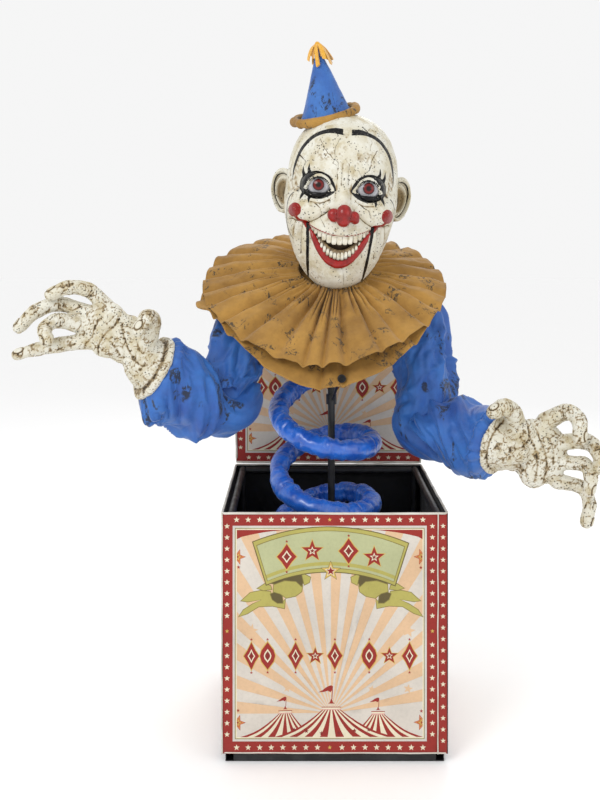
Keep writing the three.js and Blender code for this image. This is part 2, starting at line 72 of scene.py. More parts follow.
def area_light(name, place, aim, size, power):
    data = bpy.data.lights.new(name, "AREA")
    data.shape = "DISK"
    data.size = size
    data.energy = power
    lamp = bpy.data.objects.new(name, data)
    lamp.location = place
    lamp.rotation_euler = (Vector(aim) - Vector(place)).to_track_quat("-Z", "Y").to_euler()
    scene.collection.objects.link(lamp)


make_camera()
area_light("key", (-1.7, -2.6, 2.7), (0, 0, 0.8), 1.5, 40)
area_light("fill", (2.4, -2.2, 1.5), (0, 0, 0.7), 2.0, 12)
area_light("back", (0.6, 2.6, 2.8), (0, 0, 0.9), 1.6, 24)

world = bpy.data.worlds.new("studio")
world.use_nodes = True
world.node_tree.nodes["Background"].inputs["Color"].default_value = (1.0, 1.0, 1.0, 1)
world.node_tree.nodes["Background"].inputs["Strength"].default_value = 0.92
scene.world = world

# ---- Noise on arrays of points ----


def lattice(i, j, k, seed):
    n = (i * 374761393 + j * 668265263 + k * 1274126177 + seed * 974634777) & 0x7FFFFFFF
    n = ((n ^ (n >> 13)) * 1103515245) & 0x7FFFFFFF
    return ((n ^ (n >> 16)) & 0xFFFF) / 32767.5 - 1


def value_noise(p, seed=0):
    """Smooth noise from -1 to 1 at each row of p."""
    base = np.floor(p).astype(np.int64)
    f = p - base
    f = f * f * f * (f * (f * 6 - 15) + 10)
    total = np.zeros(len(p))
    for corner in range(8):
        o = np.array([corner & 1, corner >> 1 & 1, corner >> 2 & 1])
        weight = np.prod(np.where(o == 1, f, 1 - f), axis=1)
        c = base + o
        total += weight * lattice(c[:, 0], c[:, 1], c[:, 2], seed)
    return total


# turns the noise's lattice, so that its planes don't line up with the object
TURN = np.array(Matrix.Rotation(0.7, 3, Vector((0.36, 0.48, 0.8))))


def fbm(p, size, octaves=3, seed=0):
    """Layered noise at an array of points, whose largest features are about size across."""
    q = np.reshape(p, (-1, 3))
    total = np.zeros(len(q))
    for k in range(octaves):
        q = q @ TURN
        total += value_noise(q * (2**k / size) + 17.3 * k, seed + k) * 0.5**k
    return total.reshape(np.shape(p)[:-1])


def smoothstep(a, b, x):
    t = np.clip((x - a) / (b - a), 0, 1)
    return t * t * (3 - 2 * t)


def bump_at(x, centre, width):
    return np.exp(-(((x - centre) / width) ** 2))


def xyz(x, y, z):
    """Points from coordinates that are numbers, or arrays whose shapes fit together."""
    return np.stack(np.broadcast_arrays(x, y, z), axis=-1)


def full_turn(count):
    """A row of angles round a circle."""
    return np.linspace(0, 2 * math.pi, count, endpoint=False)[None]


def unit(v):
    return np.asarray(v, float) / np.linalg.norm(v)


def units(rows):
    return rows / np.linalg.norm(rows, axis=-1, keepdims=True)


def length_along(path):
    """The distance from a path's start at each of its points."""
    return np.concatenate([[0], np.cumsum(np.linalg.norm(np.diff(path, axis=0), axis=1))])


# ---- Materials ----


def srgb(text, alpha=1.0):
    """A colour written as in a paint program, as the linear values that shaders use."""
    parts = [int(text[i : i + 2], 16) / 255 for i in (0, 2, 4)]
    return (*[c / 12.92 if c <= 0.04045 else ((c + 0.055) / 1.055) ** 2.4 for c in parts], alpha)


class Shader:
    """A material being built. Texture sizes are in metres in the object's own coordinates."""

    def __init__(self, name, **settings):
        self.material = bpy.data.materials.new(name)
        self.material.use_nodes = True
        self.tree = self.material.node_tree
        self.bsdf = self.tree.nodes["Principled BSDF"]
        for key, value in settings.items():
            self.bsdf.inputs[key.replace("_", " ")].default_value = value
        self.coords = self.add("ShaderNodeTexCoord").outputs["Object"]

    def add(self, kind, inputs=None, **props):
        node = self.tree.nodes.new(kind)
        for key, value in props.items():
            setattr(node, key, value)
        for key, value in (inputs or {}).items():
            if isinstance(value, bpy.types.NodeSocket):
                self.tree.links.new(value, node.inputs[key])
            else:
                node.inputs[key].default_value = value
        return node

    def set(self, socket, value):
        self.tree.links.new(value, self.bsdf.inputs[socket])

    def noise(self, size, detail=3, rough=0.55, distortion=0.0, coords=None):
        return self.add(
            "ShaderNodeTexNoise",
            {
                "Vector": coords or self.coords, "Scale": 1 / size, "Detail": detail,
                "Roughness": rough, "Distortion": distortion,
            },
        ).outputs["Fac"]

    def wave(self, size, axis, coords=None):
        return self.add(
            "ShaderNodeTexWave", {"Vector": coords or self.coords, "Scale": math.pi / 10 / size},
            bands_direction=axis,
        ).outputs["Fac"]

    def attribute(self, name, output="Fac"):
        return self.add("ShaderNodeAttribute", attribute_name=name).outputs[output]

    def math(self, operation, a, b=0.5):
        node = self.add("ShaderNodeMath", operation=operation)
        for i, value in enumerate((a, b)):
            if isinstance(value, bpy.types.NodeSocket):
                self.tree.links.new(value, node.inputs[i])
            else:
                node.inputs[i].default_value = value
        return node.outputs[0]

    def ramp(self, fac, *stops):
        """stops are (place, value) with a number or a colour."""
        node = self.add("ShaderNodeValToRGB", {"Fac": fac})
        elements = node.color_ramp.elements
        while len(elements) < len(stops):
            elements.new(0.5)
        for element, (place, value) in zip(elements, stops):
            element.position = place
            element.color = value if hasattr(value, "__len__") else (value, value, value, 1)
        return node.outputs["Color"]

    def mix(self, a, b, fac, blend="MIX"):
        node = self.add("ShaderNodeMix", {}, data_type="RGBA", blend_type=blend)
        for i, value in ((6, a), (7, b), (0, fac)):
            if isinstance(value, bpy.types.NodeSocket):
                self.tree.links.new(value, node.inputs[i])
            else:
                node.inputs[i].default_value = value
        return node.outputs[2]

    def bump(self, height, distance, strength=1.0, normal=None):
        inputs = {"Height": height, "Distance": distance, "Strength": strength}
        if normal:
            inputs["Normal"] = normal
        normal = self.add("ShaderNodeBump", inputs).outputs["Normal"]
        self.set("Normal", normal)
        return normal

    def weave(self, thread=0.0007, strength=0.25, distance=0.0002):
        """Crossed threads, which hold on a surface facing any way."""
        lines = [self.wave(thread, axis) for axis in ("X", "Y", "Z")]
        total = self.math("ADD", self.math("ADD", lines[0], lines[1]), lines[2])
        return self.bump(total, distance, strength)


def paint_metal(name, colour, rough=0.42):
    """Black powder coat with a fine orange peel and rubbed places."""
    s = Shader(name, Metallic=0.0, Specular_IOR_Level=0.5)
    worn = s.ramp(s.noise(0.035, 5, 0.7), (0.45, 0), (0.75, 1))
    s.set("Base Color", s.mix(srgb(colour), srgb("3a3a3c"), s.math("MULTIPLY", worn, 0.5)))
    s.set("Roughness", s.ramp(s.noise(0.02, 4), (0.3, rough - 0.08), (0.7, rough + 0.14)))
    s.bump(s.noise(0.0012, 2), 0.0002, 0.3)
    return s.material


def printed_cloth():
    s = Shader("printed_cloth", Roughness=0.72, Sheen_Weight=0.12, Sheen_Roughness=0.5)
    ink = s.attribute("ink", "Color")
    dirt = s.ramp(s.noise(0.11, 5, 0.6), (0.35, 0.86), (0.7, 1.0))
    speck = s.ramp(s.noise(0.006, 3, 0.7), (0.3, 0.93), (0.55, 1.0))
    worn = s.mix(ink, dirt, 1.0, "MULTIPLY")
    s.set("Base Color", s.mix(worn, speck, 1.0, "MULTIPLY"))
    s.weave(0.0009, 0.35, 0.00025)
    return s.material


def plain_cloth(name, colour, shade, rough=0.85, sheen=0.2, thread=0.0009):
    s = Shader(name, Roughness=rough, Sheen_Weight=sheen, Sheen_Roughness=0.4)
    s.set("Base Color", s.mix(srgb(colour), srgb(shade), s.ramp(s.noise(0.05, 5, 0.65), (0.35, 0), (0.7, 1))))
    s.weave(thread, 0.4, 0.00025)
    return s.material


M = {
    "frame": paint_metal("frame_black", "0c0c0e"),
    "plastic": paint_metal("black_plastic", "101012", 0.55),
    "print": printed_cloth(),
    "lining": plain_cloth("black_lining", "0b0b0d", "17171a", 0.9, 0.1),
    "piping": plain_cloth("white_piping", "d9d5cb", "b9b2a4"),
}

# ---- Meshes ----


def to_object(name, mesh, materials):
    for m in materials:
        mesh.materials.append(m)
    obj = bpy.data.objects.new(name, mesh)
    scene.collection.objects.link(obj)
    return obj


def new_object(name, verts, faces, materials, indices=None, smooth=True):
    mesh = bpy.data.meshes.new(name)
    verts = np.reshape(np.asarray(verts, float), (-1, 3))
    mesh.from_pydata(verts.tolist(), [], [tuple(int(i) for i in f) for f in faces])
    if indices is not None:
        mesh.polygons.foreach_set("material_index", np.asarray(indices, np.int32))
    mesh.polygons.foreach_set("use_smooth", np.full(len(mesh.polygons), smooth))
    mesh.update()
    return to_object(name, mesh, materials)


def grid_faces(rows, columns, closed_rows=False, closed_columns=False):
    """Quads over a grid of rows x columns points, row by row."""
    r = np.arange(rows if closed_rows else rows - 1)
    c = np.arange(columns if closed_columns else columns - 1)
    i, j = (a.ravel() for a in np.meshgrid(r, c, indexing="ij"))
    i2, j2 = (i + 1) % rows, (j + 1) % columns
    return np.stack([i * columns + j, i * columns + j2, i2 * columns + j2, i2 * columns + j], axis=1)


def capped_faces(rows, columns):
    """The faces of a tube of rings, with a cap on each end."""
    faces = [tuple(f) for f in grid_faces(rows, columns, False, True)]
    return faces + [tuple(range(columns))[::-1], tuple(range((rows - 1) * columns, rows * columns))]


def used_only(count, faces):
    """Which of count vertices the faces use, and the faces numbered by those."""
    used = np.unique(faces)
    index = np.full(count, -1)
    index[used] = np.arange(len(used))
    return used, index[faces]


def rim_between(faces, offset):
    """Quads from the open edges of the faces to those of a copy whose vertices start at offset."""
    edges = {(a, b): True for f in faces for a, b in zip(f, f[1:] + f[:1])}
    return [(b, a, a + offset, b + offset) for a, b in edges if (b, a) not in edges]


def tangents(path):
    return units(np.gradient(path, axis=0))


def frames_along(path, up):
    """Side and up vectors that do not twist, at each point of a path."""
    tangent = tangents(path)
    side = np.cross(tangent[0], up)
    side /= np.linalg.norm(side)
    sides = []
    for t in tangent:
        side = side - t * np.dot(side, t)
        side /= np.linalg.norm(side)
        sides.append(side)
    sides = np.array(sides)
    return sides, np.cross(sides, tangent)


def rings_round(path, side, top, radius, a):
    """Rings of points round a path, at the angles a from each side vector towards the top one."""
    ring = np.cos(a)[..., None] * side[:, None] + np.sin(a)[..., None] * top[:, None]
    return path[:, None] + radius[..., None] * ring


def tube(name, path, radius, material, around=10, closed=False, up=(0, 0, 1)):
    """A tube along a path; radius is a number, or has one for each point of the path."""
    path = np.asarray(path, float)
    verts = rings_round(path, *frames_along(path, up), np.reshape(radius, (-1, 1)), full_turn(around))
    faces = grid_faces(len(path), around, True, True) if closed else capped_faces(len(path), around)
    return new_object(name, verts, faces, [material])


def smooth_path(points, count, closed=False):
    """A Catmull-Rom curve through the points."""
    p = np.asarray(points, float)
    if closed:
        p = np.vstack([p[-1:], p, p[:2]])
    else:
        p = np.vstack([2 * p[0] - p[1], p, 2 * p[-1] - p[-2]])
    spans = len(p) - 3
    t = np.linspace(0, spans, count, endpoint=not closed)
    i = np.minimum(t.astype(int), spans - 1)
    f = (t - i)[:, None]
    a, b, c, d = p[i], p[i + 1], p[i + 2], p[i + 3]
    return 0.5 * (2 * b + (c - a) * f + (2 * a - 5 * b + 4 * c - d) * f**2 + (3 * b - a - 3 * c + d) * f**3)


def store(obj, name, values):
    """Keeps a number per vertex for the shaders to read."""
    attribute = obj.data.attributes.new(name, "FLOAT", "POINT")
    attribute.data.foreach_set("value", np.asarray(values, np.float32))


def finish_piece(obj, body, replaces=()):
    if body:
        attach(obj, body)
    if replaces:
        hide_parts(*replaces)


# ---- The print: inks laid over each other on a flat panel, in millimetres ----

INK = {name: srgb(colour) for name, colour in {
    "red": "961e13", "deep_red": "7f1911", "cream": "e6dcc0", "white": "cfcac2", "peach": "dcb892",
    "ray": "d4ccc1", "gold": "cfae55", "olive": "85793a", "dark_olive": "5d5128", "pale_green": "b6b98c",
    "lime": "b2a957", "orange": "d98a4a", "pink": "d9a69c",
}.items()}
PRINT = (439, 488.5)  # the flat art's width and height


def star(x, y, r, turn=0.0, inner=0.42):
    return [
        (x + q * math.sin(turn + k * math.pi / 5), y + q * math.cos(turn + k * math.pi / 5))
        for k in range(10)
        for q in [r if k % 2 == 0 else r * inner]
    ]


def rectangle(x0, y0, x1, y1):
    return [(x0, y0), (x1, y0), (x1, y1), (x0, y1)]


def arc_between(a, middle, b, n=14):
    """Points on the parabola through a, middle and b, as x goes from a's to b's."""
    (x0, y0), (x1, y1), (x2, y2) = a, middle, b
    c = np.polyfit([x0, x1, x2], [y0, y1, y2], 2)
    return [(float(x), float(np.polyval(c, x))) for x in np.linspace(x0, x2, n)]


def grown(points, by):
    """A polygon with every side moved out by the same distance."""
    p = np.array(points)
    area = 0.5 * np.sum(p[:, 0] * np.roll(p[:, 1], -1) - np.roll(p[:, 0], -1) * p[:, 1])
    if area < 0:
        p = p[::-1]
    before, after = p - np.roll(p, 1, axis=0), np.roll(p, -1, axis=0) - p
    normals = []
    for e in (before, after):
        n = np.stack([e[:, 1], -e[:, 0]], axis=1)
        normals.append(n / np.maximum(1e-9, np.linalg.norm(n, axis=1, keepdims=True)))
    m = normals[0] + normals[1]
    m /= np.maximum(1e-9, np.linalg.norm(m, axis=1, keepdims=True))
    reach = by / np.maximum(0.45, np.sum(m * normals[0], axis=1, keepdims=True))
    return [tuple(q) for q in p + m * reach]


def mirrored(points, middle=221.5):
    return [(2 * middle - x, y) for x, y in points][::-1]


def clipped(points, x0, y0, x1, y1):
    """The part of a polygon inside a rectangle."""
    for axis, bound, sign in ((0, x0, 1), (0, x1, -1), (1, y0, 1), (1, y1, -1)):
        out = []
        for a, b in zip(points, points[1:] + points[:1]):
            da, db = sign * (a[axis] - bound), sign * (b[axis] - bound)
            if da >= 0:
                out.append(a)
            if da * db < 0:
                t = da / (da - db)
                out.append((a[0] + t * (b[0] - a[0]), a[1] + t * (b[1] - a[1])))
        points = out
        if len(points) < 3:
            return []
    return points


def tent(x, base, top, half_top, left, right, stripes, limits):
    """A striped circus tent seen from the front, as (ink, polygon) layers."""
    layers = []

    def edge(u, v):
        # u runs from -1 at the left edge to 1 at the right one, v from 0 at the top to 1 at the ground
        reach = (x - left) if u < 0 else (right - x)
        sag = 0.16 * math.sin(math.pi * v) * (0.4 + 0.6 * abs(u))
        return (x + u * (half_top + (reach - half_top) * v), top - (top - base) * min(1, v + sag))

    rows = [i / 6 for i in range(7)]
    for i in range(stripes):
        a, b = -1 + 2 * i / stripes, -1 + 2 * (i + 1) / stripes
        points = [edge(a, v) for v in rows] + [edge(b, v) for v in reversed(rows)]
        layers.append(("red" if i % 2 == 0 else "cream", points))
    layers.append(("pink", rectangle(x - half_top - 1, top, x + half_top + 1, top + 2.2)))
    layers.append(("cream", rectangle(x - half_top + 1, top + 2.2, x + half_top - 1, top + 5)))
    layers.append(("red", rectangle(x - half_top - 1, top + 5, x + half_top + 1, top + 6.6)))
    s = half_top / 19
    finial = [(-7, 13), (7, 13), (3, 16), (1.2, 22), (-1.2, 22), (-3, 16)]
    layers.append(("red", [(x + p * s, top + q * s) for p, q in finial]))
    pole = [(-0.9, 22), (0.9, 22), (2.2, 48), (-0.2, 50), (-4, 50), (-12, 46), (-20, 40), (-28, 36),
            (-16, 37),
            (-8, 39), (-3, 36), (0.2, 40)]
    layers.append(("red", [(x + 1 + p * s, top + q * s) for p, q in pole]))
    return [(ink, clipped(points, *limits)) for ink, points in layers]


def ornament(x, y, w, h, kind):
    """A generic circus motif where a printed word would be: a lozenge, a star or a spade-like drop."""
    if kind == "star":
        r = min(w, h) * 0.56
        return [("gold", star(x, y, r + 3)), ("red", star(x, y, r)), ("cream", star(x, y, r * 0.42)),
                ("deep_red", star(x, y, r * 0.24))]
    waist = 0.26 if kind == "lozenge" else 0.4
    shape = [(0, 0.5), (waist, 0.2), (0.5, 0), (waist, -0.2), (0, -0.5), (-waist, -0.2), (-0.5, 0),
             (-waist, 0.2)]
    layers = []
    for ink, f in (("gold", 1.12), ("red", 1.0), ("cream", 0.5), ("deep_red", 0.34)):
        layers.append((ink, [(x + px * w * f, y + py * h * f) for px, py in shape]))
    for end in (-1, 1):
        layers.append(("red", star(x, y + end * h * 0.6, 3.4)))
    return layers


def circus_art():
    """Every layer of the print, the lowest first, as (ink, polygon)."""
    w, h = PRINT
    frame_box = (28, 31, w - 28, h - 31)
    inside = (30.5, 33.5, w - 30.5, h - 33.5)
    layers = [("red", rectangle(0, 0, w, h)), ("white", rectangle(22, 25, w - 22, h - 25)),
              ("olive", rectangle(26.5, 29.5, w - 26.5, h - 29.5)), ("cream", rectangle(*frame_box)),
              ("ray", rectangle(*inside))]
    for x in range(8):
        for y in (12.3, h - 12.8):
            layers += [("cream", star(30 + 23.5 * x, y, 6.4)), ("cream", star(w - 30 - 23.5 * x, y, 6.4))]
    for x, y in ((w / 2, 12.3), (w / 2, h - 12.8), (10.5, 249), (w - 10.5, 249)):
        layers.append(("gold", star(x, y, 4.4)))
    for k in range(9):
        for x in (10.5, w - 10.5):
            layers += [("cream", star(x, 39 + 22.8 * k, 6.0)), ("cream", star(x, h - 26 - 22.8 * k, 6.0))]
    # sun rays
    cx, cy = 222, 82
    edges = np.cumsum([0, *([7.4] * 5), *([5.2] * 7), *([4.2] * 8), *([5.2] * 7), *([7.4] * 5)])
    edges = np.radians(edges - edges[-1] / 2)
    for a, b in zip(edges[0::2], edges[1::2]):
        far = 900
        wedge = [(cx, cy), (cx + far * math.sin(b), cy + far * math.cos(b)),
                 (cx + far * math.sin(a), cy + far * math.cos(a))]
        layers.append(("peach", clipped(wedge, *inside)))
    # corner fields
    corner = [(inside[0], inside[3]), (inside[0], 436)] + arc_between((40, 441), (85, 450), (150, inside[3]),
                                                                      8)
    layers += [("red", corner), ("red", mirrored(corner, w / 2))]
    for x, y, r in ((60, 250, 14.5), (380, 249, 14.5), (62, 134, 10.5), (133, 132, 8.5), (305, 130, 8.5),
                    (379, 131, 10.5)):
        layers.append(("peach", star(x, y, r, 0.2)))
    for x, y in ((32, 400), (w - 32, 400), (32, 63), (w - 32, 63)):
        for ink, r in (("red", 17), ("orange", 14.5), ("red", 10.5), ("gold", 8), ("red", 4)):
            layers.append((ink, clipped(star(x, y, r, 0.3 if x < 99 else -0.3), *inside)))
    for x, y in ((34, 379), (w - 34, 378), (33, 88), (w - 33, 86)):
        layers.append(("red", star(x, y, 4)))
    # ribbon tails, then the ribbon over them
    tails = [
        ("lime", [(73, 336), (87, 345), (99, 341), (101, 334), (85, 332)]),
        ("lime", [(99, 329), (78, 331), (58, 327), (40, 311), (52, 309), (82, 313), (63, 304), (44, 292),
                  (35, 279),
                  (52, 285), (75, 299), (103, 300), (127, 295), (129, 313), (122, 305), (110, 309),
                  (100, 318)]),
        ("dark_olive", [(99, 324), (111, 329), (122, 324), (124, 306), (113, 306), (103, 313)]),
        ("lime", [(106, 343), (127, 350), (151, 350), (164, 341), (162, 329), (150, 320), (131, 316),
                  (119, 325),
                  (105, 329)]),
        ("dark_olive", [(94, 347), (162, 364), (167, 352), (162, 340), (151, 350), (127, 352), (108, 345)]),
        ("lime", [(163, 364), (168, 364), (180, 358), (178, 348), (168, 343), (166, 352)]),
    ]
    for ink, points in tails:
        for shape in (points, mirrored(points)):
            layers.append(("olive", grown(shape, 1.5)))
            layers.append((ink, shape))
    top = arc_between((64, 430), (221, 460), (379, 427), 22)
    low = arc_between((91, 344), (221, 370), (352, 342), 22)

    def band(a, b):
        mixed = lambda t: [(p[0] + (q[0] - p[0]) * t, p[1] + (q[1] - p[1]) * t) for p, q in zip(top, low)]
        return mixed(a) + mixed(b)[::-1]

    ribbon = band(0, 1)
    layers += [("dark_olive", grown(ribbon, 2.2)), ("olive", grown(ribbon, 1.0)), ("lime", ribbon)]
    for ink, narrow, a, b in (("olive", 0.975, 0.07, 0.93), ("pale_green", 0.965, 0.085, 0.915),
                              ("lime", 0.965, 0.78, 0.86)):
        layers.append((ink, [(221 + (x - 221) * narrow, y) for x, y in band(a, b)]))
    for k, (x, y) in enumerate(((132, 400), (184, 412), (258, 412), (310, 399))):
        layers += ornament(x, y, 40, 52, "star" if k % 2 else "lozenge")
    for ink, r in (("dark_olive", 22), ("gold", 20), ("cream", 12.5), ("red", 9.5), ("deep_red", 4.5)):
        layers.append((ink, star(221.5, 371, r)))
    for x in (60, 93, 150, 190, 230, 300, 341, 382):
        kind = "star" if x in (190, 341) else ("drop" if x in (93, 300) else "lozenge")
        layers += ornament(x, 198, 31, 56, kind)
    # tents, the middle one in front
    limits = (inside[0], inside[1], inside[2], 400)
    layers += tent(129, inside[1], 81, 13, 37, 196, 13, limits)
    layers += tent(318, inside[1], 79, 13, 250, 410, 13, limits)
    layers += tent(223, inside[1], 88, 19, 106, 353, 15, limits)
    for x, y in ((203, 41), (238, 41.5), (172, 45), (270, 46), (147, 48), (299, 48)):
        layers.append(("deep_red", star(x, y, 5)))
    return [(ink, points) for ink, points in layers if len(points) > 2]


def star_strip(x0, x1, height):
    """A red strip with a column of stars, as on the box's next side."""
    middle = (x0 + x1) / 2
    layers = [("red", rectangle(x0, 0, x1, height))]
    for k in range(20):
        layers.append(("cream", star(middle, 26 + 23 * k, 5.6)))
    return layers


def flat_print(layers, width, height, step=11.0):
    """Cuts the flat panel along every ink's edge: (points in mm, triangles, ink per triangle)."""
    points, polygons, inks = [], [], []
    for ink, polygon in [("red", rectangle(0, 0, width, height)), *layers]:
        p = np.array(polygon)
        area = np.sum(p[:, 0] * np.roll(p[:, 1], -1) - np.roll(p[:, 0], -1) * p[:, 1])
        ids = list(range(len(points), len(points) + len(p)))
        points += [Vector((float(x), float(y))) for x, y in p]
        polygons.append(ids if area > 0 else ids[::-1])
        inks.append(ink)
    for i in range(1, int(width / step)):
        for j in range(1, int(height / step)):
            odd = 0.25 if j % 2 else -0.25
            points.append(Vector(((i + odd) * width / int(width / step), j * height / int(height / step))))
    verts, _, faces, _, _, origin = geometry.delaunay_2d_cdt(points, [], polygons, 0, 1e-3)
    top = [inks[max(ids)] if ids else "red" for ids in origin]
    return np.array([(v.x, v.y) for v in verts]), [tuple(f) for f in faces], top


def cloth_panel(name, flat, place, sag, materials, thick=0.0013):
    """A printed sheet with its lining: place(u, v, out) puts millimetres on the panel into the frame."""
    uv, faces, inks = flat
    out = sag(uv[:, 0], uv[:, 1])
    front = place(uv[:, 0], uv[:, 1], out)
    back = place(uv[:, 0], uv[:, 1], out - thick / MM)
    n = len(uv)
    a, b, c = (front[i] for i in faces[0][:3])
    if np.dot(np.cross(b - a, c - a), a - back[faces[0][0]]) < 0:
        faces = [f[::-1] for f in faces]
    rim = rim_between(faces, n)
    every = list(faces) + [tuple(i + n for i in f[::-1]) for f in faces] + rim
    index = [0] * len(faces) + [1] * (len(faces) + len(rim))
    obj = new_object(name, np.vstack([front, back]), every, materials, index)
    colours = np.array([INK[i] for i in inks] + [INK["white"]] * (len(faces) + len(rim)), np.float32)
    sizes = np.array([len(f) for f in every])
    attribute = obj.data.attributes.new("ink", "FLOAT_COLOR", "CORNER")
    attribute.data.foreach_set("color", np.repeat(colours, sizes, axis=0).ravel())
    return obj


ART = circus_art()
HALF = 230.0  # half the box's width
HEM = 18.5  # height of the box cloths' lower edge
TOP = 507.0  # height of their upper edge


def stretched(layers, sx, sy):
    return [(ink, [(x * sx, y * sy) for x, y in points]) for ink, points in layers]


def sag_of(seed, width, height, depth=2.6):
    """Cloth pulled over a frame: it dips between the frame's tubes and puckers along the seams."""

    def sag(u, v):
        a, b = np.clip(u / width, 0, 1), np.clip(v / height, 0, 1)
        hollow = np.sin(math.pi * a) ** 0.7 * np.sin(math.pi * b) ** 0.5
        p = np.stack([u, v * 0.45, 0 * u + 7 * seed], axis=1)
        folds = fbm(p, 70, 3, seed) * 1.4 + fbm(p * [1, 2.2, 1], 26, 2, seed + 9) * 0.55
        edge = np.minimum(np.minimum(u, width - u), np.minimum(v, height - v))
        pucker = np.sin(u / 5.3 + 2 * np.sin(v / 31)) * np.exp(-edge / 9) * 0.35
        return -depth * hollow + folds * smoothstep(0, 45, edge) + pucker * smoothstep(0, 3, edge) - 0.4

    return sag


OUTWARDS = {"front": (0, -1), "rear": (0, 1), "left": (-1, 0), "right": (1, 0)}
for number, (side, (dx, dy)) in enumerate(OUTWARDS.items()):
    width, height = 2 * HALF, TOP - HEM
    if side == "front":
        # the seam with the next side has crept round the corner to the front
        layers = [*ART, *[(ink, [(x + PRINT[0] + 1.2, y) for x, y in points])
                          for ink, points in star_strip(0, width - PRINT[0] - 1.2, height)]]
    else:
        layers = stretched(ART, width / PRINT[0], 1)

    def place(u, v, out, dx=dx, dy=dy):
        along = u - HALF
        # seen from outside, u runs to the right
        x = dx * (HALF + out) - dy * along
        y = dy * (HALF + out) + dx * along
        return np.stack([x, y, HEM + v + 0 * u], axis=1) * MM

    cloth = cloth_panel(f"box_cloth_{side}", flat_print(layers, width, height), place,
                        sag_of(3 + number, width, height), [M["print"], M["lining"]])
    finish_piece(cloth, "base", [f"cloth_{side}"])


def wobbly(points, seed, size=0.06, reach=0.0007):
    p = np.asarray(points, float)
    return p + reach * np.stack([fbm(p, size, 2, seed + k) for k in range(3)], axis=1)


def straight(a, b, count=60):
    return np.linspace(a, b, count)


def square_loop(half, z, corner=0.006, steps=28):
    """A level square loop with rounded corners."""
    points = []
    for k, (sx, sy) in enumerate(((1, -1), (1, 1), (-1, 1), (-1, -1))):
        for i in range(5):
            a = -math.pi / 2 + k * math.pi / 2 + i * math.pi / 8
            points.append((sx * (half - corner) + corner * math.cos(a),
                           sy * (half - corner) + corner * math.sin(a), z))
        nx, ny = ((1, 1), (-1, 1), (-1, -1), (1, -1))[k]
        a, b = np.array(points[-1]), np.array((nx * (half - corner), ny * (half - corner), z))
        b += np.array([(corner, 0, 0), (0, corner, 0), (-corner, 0, 0), (0, -corner, 0)][k])
        points += [tuple(q) for q in np.linspace(a, b, steps)[1:-1]]
    return np.array(points)


half = HALF * MM
piping_lines = {
    "rim_piping": (square_loop(half - 0.0004, TOP * MM, 0.008), 0.0024, True),
    "hem_piping": (square_loop(half - 0.0006, (HEM + 1.5) * MM, 0.008), 0.0015, True),
    "seam_front_left": (straight((-half, -half, HEM * MM), (-half, -half, TOP * MM)), 0.0016, False),
    "seam_front_right": (straight((PRINT[0] * MM + 0.0006 - half, -half - 0.0006, HEM * MM),
                                  (PRINT[0] * MM + 0.0006 - half, -half - 0.0006, TOP * MM)), 0.0014, False),
    "seam_rear_left": (straight((-half, half, HEM * MM), (-half, half, TOP * MM)), 0.0016, False),
    "seam_rear_right": (straight((half, half, HEM * MM), (half, half, TOP * MM)), 0.0016, False),
}
for k, (name, (path, radius, closed)) in enumerate(piping_lines.items()):
    piece = tube(name, wobbly(path, 40 + k), radius, M["piping"], 8, closed, up=(0.3, 0.5, 0.8))
    finish_piece(piece, "base")

# ---- Lid ----
LID = {"half": 230.0, "y": 232.0, "back": 243.0, "bottom": 512.0, "height": 460.0}
SIDE = LID["height"]
lid_flat = flat_print(stretched(ART, SIDE / PRINT[0], SIDE / PRINT[1]), SIDE, SIDE)


def lid_place(u, v, out):
    bow = -1.2 * np.sin(math.pi * np.clip(v / SIDE, 0, 1))
    return xyz(u - LID["half"], LID["y"] + 1.2 - out + bow, LID["bottom"] + v) * MM


lid_face = cloth_panel("lid_cloth_face", lid_flat, lid_place, sag_of(21, SIDE, SIDE, 0.6),
                       [M["print"], M["lining"]])
finish_piece(lid_face, "lid", ["lid_cloth"])


def lid_back():
    n = 40
    u, v = np.linspace(-229.5, 229.5, n)[:, None], np.linspace(0.5, 459.5, n)[None]
    dip = fbm(xyz(u, v, 0), 90, 3, 5) * 0.8
    back = xyz(u, LID["back"] - 1.0 + dip, LID["bottom"] + v) * MM
    inner = xyz(u, LID["y"] + 5.0, LID["bottom"] + v) * MM
    faces = [tuple(f) for f in grid_faces(n, n)]
    every = faces + [tuple(i + n * n for i in f[::-1]) for f in faces] + sorted(rim_between(faces, n * n))
    return new_object("lid_back", np.vstack([back, inner]), every, [M["lining"]])


finish_piece(lid_back(), "lid", ["lid_board"])
lid_edge = np.array([(-1, 0), (1, 0), (1, 1), (-1, 1)], float)
ring = []
for a, b in zip(lid_edge, np.roll(lid_edge, -1, axis=0)):
    ring += [a + (b - a) * t for t in np.linspace(0, 1, 40, endpoint=False)]
ring = np.array(ring)
for name, y, radius, seed in (("lid_piping_front", 0.2335, 0.0026, 61),
                              ("lid_piping_back", 0.2415, 0.0018, 67)):
    line = xyz(ring[:, 0] * 0.2296, y, (LID["bottom"] + ring[:, 1] * 459.5) * MM)
    piece = tube(name, wobbly(line, seed), radius, M["piping"], 8, True, up=(0.2, 0.9, 0.3))
    finish_piece(piece, "lid")

# ---- Cloth helpers ----


